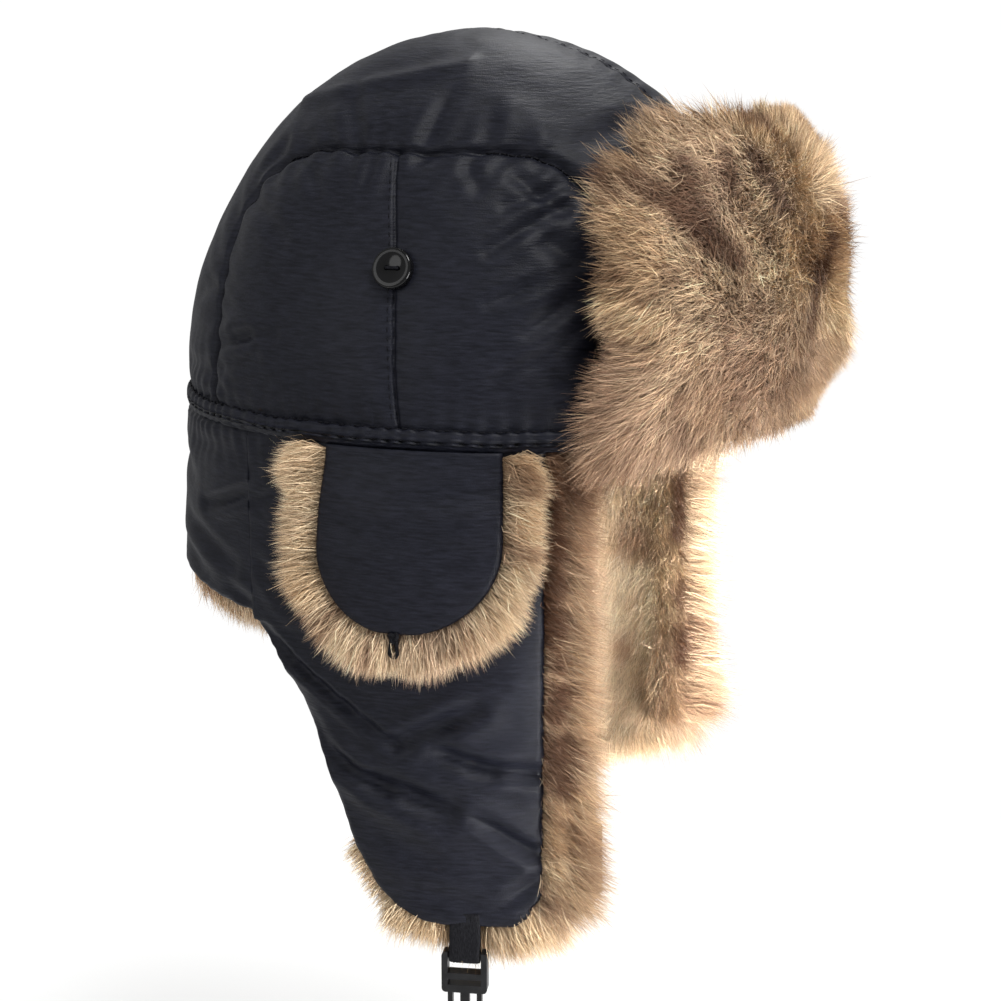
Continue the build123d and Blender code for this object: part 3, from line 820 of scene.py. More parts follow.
def grow(name, roots, normals, flow, length, body, node, seed, marks=None, lean=0.55, clump=0.45,
         droop=0.12, width=0.22 * MM, cell=4.5 * MM, uv=None, pale=1.0):
    """Faux fur as tapered ribbons that lean with the flow, gather in locks, curl and droop a little."""
    random = np.random.default_rng(seed)
    count = len(roots)
    undercoat = random.random(count) < 0.3
    flyaway = random.random(count) < 0.02
    length = length * random.uniform(0.72, 1.12, count)
    length = length * np.where(undercoat, 0.62, 1) * np.where(flyaway, 1.15, 1)
    normals, flow = unit(normals), unit(flow)
    lean = np.broadcast_to(lean, count)[:, None]
    stray = random.normal(0, 1, (count, 3)) * np.where(flyaway, 0.45, 0.30)[:, None]
    swirl = np.stack([noise(roots, 15 * MM, seed + k) for k in (5, 6, 7)], 1) * 0.55
    start = unit(normals + flow * lean * 0.4 + stray * 0.6)
    finish = unit(normals * (1 - lean) + flow * lean * 1.3 + stray + swirl * lean + np.array([0, 0, -droop]))
    locks = lock_numbers(roots, cell)
    centre = lock_mean(locks, roots)
    heading = unit(lock_mean(locks, finish))
    pull = (clump * random.uniform(0.2, 1.0, count) * ~flyaway)[:, None]
    curl = np.cross(start, random.normal(0, 1, (count, 3))) * 0.09
    spine = []
    for t in LEVELS:
        own = start * (t - 0.5 * t * t) + finish * 0.62 * t * t + curl * np.sin(np.pi * t)
        gathered = centre - roots + length[:, None] * (start * (t - 0.5 * t * t) + heading * 0.62 * t * t)
        share = pull * t ** 1.5
        spine.append(roots + own * length[:, None] * (1 - share) + gathered * share)
    spine = np.stack(spine, 1)
    along = unit(spine[:, -1] - spine[:, 0])
    across = unit(np.cross(along, normals + random.normal(0, 0.4, (count, 3))))
    thick = width * random.uniform(0.55, 1.25, (count, 1)) * np.array([[0.85, 1.0]]) / 2
    left = spine[:, :2] - across[:, None] * thick[..., None]
    right = spine[:, :2] + across[:, None] * thick[..., None]
    points = np.concatenate([np.stack([left, right], 2).reshape(count, 4, 3), spine[:, 2:]], 1)
    colours = fur_colours(spine, locks, seed, marks, random)[:, [0, 0, 1, 1, 2]]
    # Painted light and shade: each piece's colours are lightened above 1 and darkened below 1, to match how
    # brightly that part of the pile is lit.
    colours[..., :3] = 1 - (1 - colours[..., :3]) ** pale
    uv = roots[:, 1:] if uv is None else uv
    pieces = math.ceil(count / STRANDS_A_PIECE)
    for k in range(pieces):
        ending = f"_{k + 1}" if pieces > 1 else ""
        fur = write_strands(name + ending, points[k::pieces], colours[k::pieces], uv[k::pieces])
        settle(fur, body, [node])


def write_strands(name, points, colours, uv):
    """Builds the strand mesh straight from arrays, with its colours and a layout for baking."""
    count = len(points)
    pattern = np.array([0, 1, 3, 2, 2, 3, 4])
    loops = (pattern[None] + 5 * np.arange(count)[:, None]).ravel()
    starts = np.concatenate([[0], np.cumsum(np.tile([4, 3], count))[:-1]])
    mesh = bpy.data.meshes.new(name)
    mesh.vertices.add(count * 5)
    mesh.vertices.foreach_set("co", points.reshape(-1).astype(np.float32))
    mesh.loops.add(len(loops))
    mesh.loops.foreach_set("vertex_index", loops.astype(np.int32))
    mesh.polygons.add(count * 2)
    mesh.polygons.foreach_set("loop_start", starts.astype(np.int32))
    mesh.update(calc_edges=True)
    mesh.polygons.foreach_set("use_smooth", [True] * len(mesh.polygons))
    layer = mesh.attributes.new("strand_colour", "FLOAT_COLOR", "POINT")
    layer.data.foreach_set("color", colours.reshape(-1).astype(np.float32))
    low, high = uv.min(0), uv.max(0)
    spot = (uv - low) / np.maximum(high - low, 1e-9)
    bands = 64
    row = np.floor(spot[:, 1] * (bands - 1))
    u = spot[:, :1] * 0.99 + np.array([0.0, 1.0, 0.0, 1.0, 0.5])[None] * 0.004
    v = (row[:, None] + np.array([0.1, 0.1, 0.5, 0.5, 0.9])[None]) / bands
    layout = mesh.uv_layers.new(name="OFBake")
    layout.data.foreach_set("uv", np.stack([u, v], -1).reshape(-1, 2)[loops].reshape(-1).astype(np.float32))
    mesh.materials.append(FUR)
    obj = bpy.data.objects.new(name, mesh)
    bpy.context.scene.collection.objects.link(obj)
    return obj


# ---------------------------------------------------------------- visor

VISOR_CLEARANCE = 2.4 * MM
VISOR_CORNER = 22.0
# Brown streaks of the visor's pile as (around0, z0, around1, z1, spread, strength): partly the fur's own
# markings and partly painted shade in the clefts where the pile parts.
VISOR_DARK = [
    (-48, 82, -43, 77, 2.8, 0.85), (-43, 77, -38, 67, 3.2, 1.0), (-40, 85, -39, 71, 3.0, 0.95),
    (-38, 67, -32, 59, 3.4, 0.95), (-54, 88, -52, 83, 2.5, 0.8), (-32, 90, -31, 82, 2.8, 0.8),
    (-24, 87, -21, 74, 3.2, 0.9), (-22, 103, -12, 98, 3.2, 0.75), (-5, 62, -13, 52, 3.6, 1.0),
    (-13, 52, -15, 36, 3.0, 0.95), (-26, 42, -14, 30, 5.0, 0.35), (-36, 45, -26, 38, 5.0, 0.35),
    (-42, 17, -41, 6, 3.2, 0.5), (-57, 28, -53, 12, 3.5, 0.45), (4, 70, 10, 52, 4.0, 0.9),
    (20, 88, 34, 66, 4.0, 0.9), (34, 66, 30, 50, 3.4, 0.9), (14, 42, 38, 30, 5.0, 0.6),
    (40, 84, 46, 70, 3.0, 0.7), (44, 40, 46, 18, 3.5, 0.5),
]
TOP_REACH = [
    (-52, 0.95), (-44, 1.15), (-38, 1.45), (-28, 1.45), (-18, 1.05), (-8, 0.7), (30, 0.7),
    (52, 0.95),
]


def visor_profile(t):
    """Radial offset and height of the visor's inner face, as an arc from foot to head."""
    foot, middle, head = (0.0, 0.5), (5.0, 0.45 * VISOR_TALL), (-8.0, VISOR_TALL)
    radial = foot[0] * (1 - t) + head[0] * t + (middle[0] + 3.6) * 4 * t * (1 - t)
    height = foot[1] + (head[1] - foot[1]) * t
    return VISOR_CLEARANCE + radial * MM, height * MM


def visor_place(angle, t, depth):
    """Points at an angle (degrees from straight ahead, + to the wearer's left) and a share of the height."""
    turn = np.radians(angle)
    radial, height = visor_profile(t)
    reach = radial + depth
    x = (WIDTH + reach * WIDTH / LENGTH) * np.sin(turn)
    y = -(LENGTH + reach) * np.cos(turn)
    return np.stack([x, y, height + 0 * x], -1)


def visor_outward(angle, t):
    """Outward direction of the visor's face."""
    turn = np.radians(angle)
    across = np.stack([np.sin(turn) / WIDTH, -np.cos(turn) / LENGTH, 0 * turn], -1)
    tilt = (0.10 - 0.42 * (t - 0.45))[..., None]
    return unit(unit(across) - DOWN * tilt * 0.6)


def visor_corner(angle, t):
    """Distance in mm from the visor's free edges, with rounded upper corners."""
    side = (VISOR_HALF_ANGLE - np.abs(angle)) * VISOR_MM_A_DEGREE
    top = (1 - t) * VISOR_TALL
    deep = np.hypot(np.maximum(VISOR_CORNER - side, 0), np.maximum(VISOR_CORNER - top, 0))
    inside = np.minimum(np.minimum(side, top), VISOR_CORNER)
    return inside * (deep <= 0) + (VISOR_CORNER - deep) * (deep > 0)


def make_visor():
    """The visor's nylon back, its padded fur base, and the pile."""
    rows, columns = 110, 200
    t, share = np.meshgrid(np.linspace(0, 1, rows), np.linspace(-1, 1, columns), indexing="ij")
    round_off = np.maximum(0, VISOR_CORNER - (1 - t) * VISOR_TALL) / VISOR_CORNER
    half = VISOR_HALF_ANGLE - quarter(np.clip(round_off, 0, 1)) * 12.0
    angle = share * half
    back = visor_place(angle, t, 0)
    crumple = 0.7 * MM * noise(back.reshape(-1, 3), 18 * MM, 111).reshape(angle.shape)
    edge = visor_corner(angle, t)
    pinch = np.exp(-np.maximum(edge, 0) / 2.0)
    inner = visor_place(angle, t, crumple - 0.6 * MM + 1.6 * MM * pinch)
    outer = visor_place(angle, t, 2.4 * MM + 0 * t)
    cloth = closed_sheet("visor_cloth", outer[:, ::-1], inner[:, ::-1], NYLON)
    settle(cloth, "visor", ["visor_shell", "visor_stiffener"])
    swell = 5.0 * MM * (1 - np.exp(-np.maximum(edge, 0) / 6.0))
    lumps = 0.8 * MM * noise(back.reshape(-1, 3), 12 * MM, 112).reshape(angle.shape)
    foot = (1 - smooth(0.03, 0.32, t)) * (1 - smooth(14.0, 34.0, np.abs(angle)))
    front = visor_place(angle, t, 2.6 * MM + swell * (1 - 0.6 * foot) + lumps * (edge > 3))
    behind = visor_place(angle, t, 1.2 * MM + 0 * t)
    base = closed_sheet("visor_fur_base", front[:, ::-1], behind[:, ::-1], BACKING)
    settle(base, "visor", [])
    grow_visor_fur()


def visor_marks(points):
    """How dark the visor's fur is, from 0 to 1: its brown streaks and dark patches, partly the fur's own
    colour and partly painted shade, with painted shade at its foot and painted light at its top.
    """
    around = np.degrees(np.arctan2(points[:, 0] / WIDTH, -points[:, 1] / LENGTH)) * VISOR_MM_A_DEGREE * MM
    waver = 3.0 * MM * noise(points, 7 * MM, 125)
    height = points[:, 2]
    # Dark patches, partly the pile's own colour and partly painted shade between its clumps.
    patches = 0.5 * smooth(0.15, 0.75, noise(points, 7 * MM, 126))
    # Painted light: fewer dark patches towards the visor's top, which is more brightly lit.
    patches = patches * (1 - 0.7 * smooth(72 * MM, 92 * MM, height))
    # Painted shade: darker towards the foot of the visor.
    total = patches + 0.18 * (1 - smooth(8 * MM, 38 * MM, height))
    # Brown streaks, partly the fur's own markings and partly painted shade in the clefts where the pile
    # parts.
    for a0, z0, a1, z1, spread, strength in VISOR_DARK:
        ends = (a0 * VISOR_MM_A_DEGREE, z0, a1 * VISOR_MM_A_DEGREE, z1)
        distance, _ = line_distance(around + waver, height - waver, ends)
        total = np.maximum(total, strength * (1 - smooth(0.6 * spread * MM, 1.9 * spread * MM, distance)))
    return total


def grow_on_side(name, side, placed, roots, normals, flow, *about, **looks):
    """Fur made for the wearer's right side and put on the side asked for by `placed`."""
    grow(name, placed(roots, side), mirrored(normals, side), mirrored(flow, side), *about, **looks)


def speckles(size, seed, amount):
    """Brown flecks of a given size for the fur away from the visor."""
    return lambda points: amount * smooth(0.3, 0.75, noise(points, size, seed))


def visor_roots(random):
    """Angles and height shares of the visor's strands: over its face, and thicker along its free edges."""
    face = 118000
    angle = random.uniform(-VISOR_HALF_ANGLE, VISOR_HALF_ANGLE, face)
    share = random.uniform(0.0, 1.0, face)
    border = 44000
    inset = random.random(border) ** 1.5 * 9
    on_side = random.random(border) < 0.5
    sign = random.choice([-1.0, 1.0], border)
    edge_angle = np.where(on_side, sign * (VISOR_HALF_ANGLE - inset / VISOR_MM_A_DEGREE),
                          random.uniform(-VISOR_HALF_ANGLE, VISOR_HALF_ANGLE, border))
    edge_share = np.where(on_side, random.random(border), 1 - inset / VISOR_TALL)
    angle, share = np.concatenate([angle, edge_angle]), np.concatenate([share, edge_share])
    keep = visor_corner(angle, share) > 0.2
    mix_up = random.permutation(np.count_nonzero(keep))
    return angle[keep][mix_up], share[keep][mix_up]


def grow_visor_fur():
    """Pile over the visor's face, radiating from the middle, turned out at the edges, short at the foot."""
    random = np.random.default_rng(7)
    angle, share = visor_roots(random)
    edge = visor_corner(angle, share)
    height = visor_profile(share)[1]
    foot = (1 - smooth(3 * MM, 30 * MM, height)) * (1 - smooth(14.0, 34.0, np.abs(angle)))
    swell = 5.0 * MM * (1 - np.exp(-edge / 6.0)) * (0.35 + 0.65 * smooth(0.0, 0.25, share))
    roots = visor_place(angle, share, 2.2 * MM + swell * (1 - 0.5 * foot))
    turn = np.radians(angle)
    sideways = np.stack([np.cos(turn), np.sin(turn), 0 * turn], -1)
    up = np.array([0, 0, 1.0])
    low = (1 - smooth(0.0, 26 * MM, height))[:, None]
    outer = smooth(14.0, 46.0, np.abs(angle))[:, None]
    side_pull = (angle / VISOR_HALF_ANGLE)[:, None]
    rise = ((share - 0.5) * 2)[:, None]
    wander = sideways * (noise(roots, 26 * MM, 122)[:, None] - 0.45)
    wander = wander + up * (noise(roots, 26 * MM, 123)[:, None] - 0.3)
    flow = unit(sideways * side_pull * 1.3 + up * rise * 1.2 + 1.1 * wander - up * low * 0.3 * outer
                + up * foot[:, None] * 0.1)
    roll = np.exp(-edge / 5.0)[:, None]
    by_side = ((VISOR_HALF_ANGLE - np.abs(angle)) * VISOR_MM_A_DEGREE < (1 - share) * VISOR_TALL)[:, None]
    away = np.where(by_side, sideways * np.sign(angle)[:, None], up)
    normals = unit(visor_outward(angle, share) * (1 - 0.75 * roll) + away * 1.1 * roll
                   - up * low * 0.15 * outer + up * foot[:, None] * 0.15)
    waist = 1 - 0.4 * np.exp(-((height - 34 * MM) / (9 * MM)) ** 2)
    waist = waist + 0.15 * np.exp(-((height - 6 * MM) / (12 * MM)) ** 2)
    length = 12.6 * MM * (1 + 0.28 * noise(roots, 15 * MM, 121))
    length *= np.where(by_side[:, 0] & (edge < 10), 1.15 * waist, 1)
    length *= 1 - 0.45 * foot
    top_angles, top_lengths = zip(*TOP_REACH)
    length *= np.where(~by_side[:, 0] & (edge < 10), np.interp(angle, top_angles, top_lengths), 1)
    lean = 0.66 + 0.16 * np.abs(rise[:, 0]) + 0.08 * outer[:, 0]
    grow("visor_fur_pile", roots, normals, flow, length, "visor", "visor_fur", 130, visor_marks, lean=lean,
         droop=0.02, uv=np.stack([angle, share * VISOR_TALL], 1), pale=0.9)


# ---------------------------------------------------------------- fur of the flaps, covers and nape

def lining_base(name, y, z, depth, body, side, node):
    """The fur's backing as a thin padded form behind the cloth."""
    outward = skirt_outward(y)
    place = skirt_place(y, z, 0)
    outer = place - outward * 2.6 * MM
    swell = depth * (0.75 + 0.25 * noise(place.reshape(-1, 3), 14 * MM, 141).reshape(y.shape))
    inner = place - outward * (2.8 * MM + swell)[..., None]
    base = sided_sheet(name, outer, inner, side, hung, BACKING)
    settle(base, body, [node])


FLAP_SPOTS = [
    (4, -2, 9, -14, 5.0, 0.75), (3, -17, 3.5, -33, 3.4, 1.0), (2.5, -38, 3, -59, 3.4, 1.0),
    (5.5, -65, 5.5, -68, 2.4, 0.85), (7, -77, 5.5, -84, 3.4, 1.0), (7, -95, 7.5, -107, 4.2, 1.0),
    (9, -120, 11, -124, 3.0, 0.4), (16, -128, 17, -140, 3.0, 0.6), (4, -150, 8, -156, 4.0, 0.5),
]


def flap_spots(points):
    """How dark the fur is at the brown spots down the flap's front edge, from 0 to 1."""
    ahead, z = FLAP_FRONT - points[:, 1], points[:, 2]
    waver = 1.8 * MM * noise(points, 6 * MM, 155)
    total = 0.3 * smooth(0.3, 0.8, noise(points, 10 * MM, 156))
    for a0, z0, a1, z1, spread, strength in FLAP_SPOTS:
        distance, _ = line_distance(ahead + waver, z - waver, (a0, z0, a1, z1))
        total = np.maximum(total, strength * (1 - smooth(0.6 * spread * MM, 1.8 * spread * MM, distance)))
    return total


def make_flap_fur(name, side, seed):
    """Fur lining of one ear flap: inner face, and the fringe that turns out past the free edges."""
    body, node = f"{name}_ear_flap", f"{name}_ear_flap_fur"
    random = np.random.default_rng(seed)
    rows = np.linspace(-2.5 * MM, FLAP_BOTTOM + 2 * MM, 90)
    front, rear = flap_edges(rows)
    share = np.linspace(0, 1, 60)
    y = front[:, None] + 1.5 * MM + (rear - front - 4.5 * MM)[:, None] * share[None]
    z = np.broadcast_to(rows[:, None], y.shape)
    lining_base(f"{name}_ear_flap_fur_base", y, z, 4.0 * MM, body, side, node)
    z = random.uniform(FLAP_BOTTOM + 1 * MM, -3 * MM, 90000)
    y = random.uniform(FLAP_FRONT, FLAP_REAR, 90000)
    front, rear = flap_edges(z)
    hole = np.hypot(y + 9 * MM, z + 31 * MM) < 17 * MM
    keep = (y > front + 1 * MM) & (y < rear - 3 * MM) & ~hole
    y, z = y[keep][:STRANDS_A_PIECE], z[keep][:STRANDS_A_PIECE]
    outward = skirt_outward(y)
    roots = skirt_place(y, z, 0) - outward * 5.5 * MM
    across = np.stack([0 * y, noise(roots, 25 * MM, seed), 0 * y], 1)
    flow = unit(DOWN + FORWARD * smooth(0.0, -40 * MM, y)[:, None] * 0.8 + 0.6 * across)
    # The lining's colours are lightened strongly as painted light, since it sits in the shade inside the
    # flap.
    grow_on_side(f"{name}_ear_flap_fur_lining", side, hung, roots, -outward, flow, 14.5 * MM, body, node,
                 seed + 1, speckles(14 * MM, 151, 0.7), lean=0.48, uv=np.stack([y, z], 1), pale=1.8)
    grow_front_fringe(name, side, seed + 20, body, node)
    grow_tip_fringe(name, side, seed + 40, body, node)


def grow_front_fringe(name, side, seed, body, node):
    """Three bands of fur along the flap's front edge: two that face out, and one that turns to the lining."""
    random = np.random.default_rng(seed)
    count = STRANDS_A_PIECE
    z = random.uniform(FLAP_BOTTOM + 7 * MM, -1 * MM, count)
    front, _ = flap_edges(z)
    band = np.searchsorted([0.36, 0.78], random.random(count))
    depth = random.uniform(np.array([1.2, 5.5, 10.0])[band], np.array([5.0, 12.5, 13.5])[band]) * MM
    ahead = random.uniform(np.array([-1.0, 1.0, -5.0])[band], np.array([1.5, 6.0, 6.5])[band]) * MM
    y = front - ahead
    outward = skirt_outward(front)
    roots = skirt_place(y, z, 0) - outward * depth[:, None]
    spread = np.array([0.75, 0.55, -1.4])[band][:, None]
    normals = unit(FORWARD + outward * spread)
    flow = unit(FORWARD * 0.9 + outward * spread * 0.5 + np.array([0, 0, -0.45]))
    longer = 1 + 0.22 * (1 - smooth(-120 * MM, -90 * MM, z))
    length = np.array([8.0, 16.5, 13.0])[band] * MM * longer * (1 + 0.2 * noise(roots, 12 * MM, seed))
    grow_on_side(f"{name}_ear_flap_fur_front", side, hung, roots, normals, flow, length, body, node,
                 seed + 5, flap_spots, lean=0.4, droop=0.15, uv=np.stack([depth, z], 1), pale=1.18)


def grow_tip_fringe(name, side, seed, body, node):
    """Longer fur around the flap's tip, and a short fringe a little way up its swept rear edge."""
    random = np.random.default_rng(seed)
    count = 20000
    on_rear = random.random(count) < 0.22
    y_tip = random.uniform(FLAP_FRONT, -4 * MM, count)
    corner_rise = np.maximum(0, FLAP_FRONT + 12 * MM - y_tip) * 0.9
    z_tip = FLAP_BOTTOM + 1.5 * MM + corner_rise + np.maximum(0, y_tip + 22 * MM) * 0.35
    z_rear = FLAP_BOTTOM + 2 * MM + random.random(count) ** 1.3 * 24 * MM
    _, rear = flap_edges(z_rear)
    y = np.where(on_rear, rear - 1.5 * MM, y_tip)
    z = np.where(on_rear, z_rear, z_tip)
    ahead = smooth(-24 * MM, FLAP_FRONT, y_tip)
    behind = smooth(-25 * MM, -5 * MM, y_tip)
    tip_away = np.stack([0 * y, 0.6 * behind - 0.9 * ahead, -1 + 0 * y], 1)
    rear_away = np.tile([0, 0.75, -0.65], (count, 1))
    away = unit(np.where(on_rear[:, None], rear_away, tip_away))
    depth = random.uniform(2.6, 11.5, count) * MM
    outward = skirt_outward(y)
    roots = skirt_place(y, z, 0) - outward * depth[:, None] - away * 1.0 * MM
    inward = ((depth - 2.6 * MM) / (9 * MM))[:, None]
    normals = unit(away - outward * (inward - 0.3) * 0.6)
    flow = unit(away + np.array([0, 0, -0.3]) + outward * 0.2)
    length = np.where(on_rear, 9.0, 13.5 + 6.5 * ahead) * MM * (1 + 0.25 * noise(roots, 9 * MM, seed))
    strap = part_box(f"{name}_strap_webbing")
    clear = (np.abs(y - (strap[0].y + strap[1].y) / 2) > 7.5 * MM) | (depth > 6.5 * MM)
    normals[:, 0] *= np.where(np.abs(y - strap[0].y) < 12 * MM, 0.2, 1)
    grow_on_side(f"{name}_ear_flap_fur_tip", side, hung, roots[clear], normals[clear], flow[clear],
                 length[clear], body, node, seed + 5, speckles(12 * MM, seed + 1, 0.45),
                 lean=0.35, droop=0.1, uv=np.stack([y, z + depth], 1)[clear], pale=1.3)


def make_cover_fur(name, side, seed):
    """The ear cover's fur: a wide fringe past the nylon's edge, and the pile on its inner face."""
    body, node = f"{name}_ear_cover", f"{name}_ear_cover_fur"
    random = np.random.default_rng(seed)
    rows = np.linspace(COVER_HIGH.z + 1 * MM, COVER_LOW.z - 5 * MM, 60)
    front, rear = cover_edges(rows, 5 * MM)
    share = np.linspace(-1, 1, 60)
    y = ((front + rear) / 2)[:, None] + ((rear - front) / 2)[:, None] * share[None]
    z = np.broadcast_to(rows[:, None], y.shape)
    outward = skirt_outward(y)
    place = skirt_place(y, z, 0)
    lift = cover_lift(z)[..., None]
    outer = place + outward * (lift - 2.0 * MM)
    inner = place + outward * np.minimum(lift - 2.4 * MM, 2.2 * MM + 0 * lift)
    base = sided_sheet(f"{name}_ear_cover_fur_base", outer, inner, side, mirrored, BACKING)
    settle(base, body, [node])
    count = STRANDS_A_PIECE
    travel = random.random(count)
    y, z, away = cover_border(travel)
    inset = random.random(count) ** 0.8 * 5.0 * MM - 4.5 * MM
    y, z = y - away[:, 1] * inset, z - away[:, 2] * inset
    z = np.minimum(z, COVER_HIGH.z + 1 * MM)
    outward = skirt_outward(y)
    level = random.random(count)
    roots = skirt_place(y, z, 0) + outward * (1.2 * MM + (cover_lift(z) - 2.4 * MM) * level)[:, None]
    normals = unit(away + outward * (0.15 + 0.35 * level)[:, None])
    flow = unit(away + np.array([0, 0, -0.25]))
    loop_y = (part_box(f"{name}_ear_cover_loop")[0].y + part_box(f"{name}_ear_cover_loop")[1].y) / 2
    keep = (np.abs(roots[:, 1] - loop_y) > 2.0 * MM) | (level < 0.5) | (z > COVER_LOW.z + 6 * MM)
    roots, normals, flow = roots[keep], normals[keep], flow[keep]
    length = 11.4 * MM * (1 + 0.3 * noise(roots, 8 * MM, seed + 4))
    grow_on_side(f"{name}_ear_cover_fur_fringe", side, mirrored, roots, normals, flow, length, body, node,
                 seed + 1, speckles(10 * MM, seed + 3, 0.6), lean=0.35, droop=0.1,
                 uv=np.stack([travel[keep], level[keep]], 1), pale=1.2)
    y = COVER_Y + random.uniform(-1, 1, 9000) * COVER_HALF
    z = random.uniform(COVER_LOW.z, COVER_HIGH.z, 9000)
    front, rear = cover_edges(z)
    keep = (y > front) & (y < rear)
    y, z = y[keep], z[keep]
    outward = skirt_outward(y)
    roots = skirt_place(y, z, 0) + outward * np.minimum(cover_lift(z) - 2.2 * MM, 2.4 * MM)[:, None]
    grow_on_side(f"{name}_ear_cover_fur_lining", side, mirrored, roots, -outward, np.tile(DOWN, (len(y), 1)),
                 6.0 * MM, body, node, seed + 2, lean=0.85, uv=np.stack([y, z], 1), width=0.5 * MM)


def cover_border(travel):
    """Points around the U of the ear cover, from front top to rear top, and their direction out of it."""
    z = np.linspace(COVER_HIGH.z, COVER_LOW.z, 400)
    z = np.concatenate([z, COVER_LOW.z + (COVER_HIGH.z - COVER_LOW.z) * np.linspace(0, 0.02, 60)[::-1] ** 2])
    z = np.sort(z)[::-1]
    front, rear = cover_edges(z)
    outline = np.concatenate([np.stack([front, z], 1), np.stack([rear, z], 1)[::-1]])
    step = np.linalg.norm(np.diff(outline, axis=0), axis=1)
    reach = np.concatenate([[0], np.cumsum(step)])
    place = [np.interp(travel * reach[-1], reach, outline[:, k]) for k in (0, 1)]
    ahead = [np.interp(travel * reach[-1] + 1.5 * MM, reach, outline[:, k]) for k in (0, 1)]
    behind = [np.interp(travel * reach[-1] - 1.5 * MM, reach, outline[:, k]) for k in (0, 1)]
    away = unit(np.stack([0 * travel, ahead[1] - behind[1], behind[0] - ahead[0]], 1))
    return place[0], place[1], away


def make_nape_fur():
    """Fur lining behind the ear flaps, and its fringe below the nylon."""
    random = np.random.default_rng(171)
    turns = np.linspace(NAPE_SEAM + 0.01, math.pi - NAPE_SEAM - 0.01, 160)
    turn, z = np.meshgrid(turns, np.linspace(-0.5 * MM, NAPE_BOTTOM + 1 * MM, 40))
    place, outward = nape_wall(turn, z)
    place = flared(place, outward, turn, z)
    outer = place - outward * 2.6 * MM
    inner = place - outward * 6.6 * MM
    base = closed_sheet("nape_fur_base", outer[:, ::-1], inner[:, ::-1], BACKING)
    settle(base, "crown", ["nape_fur"])
    count = 36000
    turn = random.uniform(NAPE_SEAM, math.pi - NAPE_SEAM, count)
    fringe = random.random(count) < 0.4
    z = np.where(fringe, NAPE_BOTTOM + 1 * MM, random.uniform(NAPE_BOTTOM + 2 * MM, -2 * MM, count))
    depth = np.where(fringe, 2.8 * MM + random.random(count) * 8 * MM, 6.0 * MM)
    place, outward = nape_wall(turn, z)
    roots = flared(place - outward * depth[:, None], outward, turn, z)
    normals = np.where(fringe[:, None], DOWN - outward * 0.3, -outward)
    flow = unit(DOWN + 0.4 * np.stack([noise(roots, 20 * MM, 172), 0 * z, 0 * z], 1))
    lengths = np.where(fringe, 10.5, 12.0) * MM
    grow("nape_fur_pile", roots, normals, flow, lengths, "crown", "nape_fur", 175,
         speckles(15 * MM, 173, 0.55), lean=0.5, uv=np.stack([turn, z + depth], 1), pale=1.4)


# ---------------------------------------------------------------- small parts

def tube(name, path, radius, material, around=10):
    """A round cord along a path of points, with closed ends."""
    path = np.asarray(path)
    along = unit(np.gradient(path, axis=0))
    up = np.array([1.0, 0, 0])
    across = unit(np.cross(along, up))
    over = unit(np.cross(across, along))
    turn = np.linspace(0, 2 * np.pi, around, endpoint=False)
    ring = np.cos(turn)[None, :, None] * across[:, None] + np.sin(turn)[None, :, None] * over[:, None]
    points = path[:, None] + radius * ring
    faces = grid_faces(len(path), around, wrap=True)
    faces += [list(range(around))[::-1], list(range((len(path) - 1) * around, len(path) * around))]
    return make_object(name, points, faces, material)


def make_loop(name, side):
    """The elastic loop under the ear cover: two legs out of the hem of the cover, round a small bight."""
    low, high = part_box(f"{name}_ear_cover_loop")
    middle = (low + high) / 2
    turn = np.linspace(-0.35, math.pi + 0.35, 40)
    bend = 1.3 * MM
    bight = np.stack([np.full(40, middle.x),
                      middle.y + bend * np.cos(turn), middle.z - bend * np.sin(turn)], 1)
    top = high.z + 3.5 * MM
    legs = [np.array([[middle.x + side * 1.4 * MM, middle.y + s * 0.7 * MM, top],
                      [middle.x, middle.y + s * 0.8 * MM, high.z - 1.0 * MM]]) for s in (1, -1)]
    path = np.concatenate([legs[0], bight, legs[1][::-1]])
    fine = np.linspace(0, len(path) - 1, 160)
    path = np.stack([np.interp(fine, np.arange(len(path)), path[:, k]) for k in range(3)], 1)
    kernel = np.ones(9) / 9
    padded_path = np.pad(path, ((4, 4), (0, 0)), mode="edge")
    path = np.stack([np.convolve(padded_path[:, k], kernel, "valid") for k in range(3)], 1)
    loop = tube(f"{name}_ear_cover_elastic", path, 0.65 * MM, ELASTIC)
    turn = np.linspace(0, 2 * np.pi, 90)
    knot = np.stack([0.55 * np.sin(3 * turn), np.sin(turn) + 2 * np.sin(2 * turn),
                     np.cos(turn) - 2 * np.cos(2 * turn)], 1) * 0.5 * MM
    knot = knot + np.array([middle.x, middle.y, high.z - 0.5 * MM])
    knot = tube(f"{name}_ear_cover_knot", knot, 0.65 * MM, ELASTIC)
    for piece in (loop, knot):
        settle(piece, f"{name}_ear_cover", [f"{name}_ear_cover_loop"])


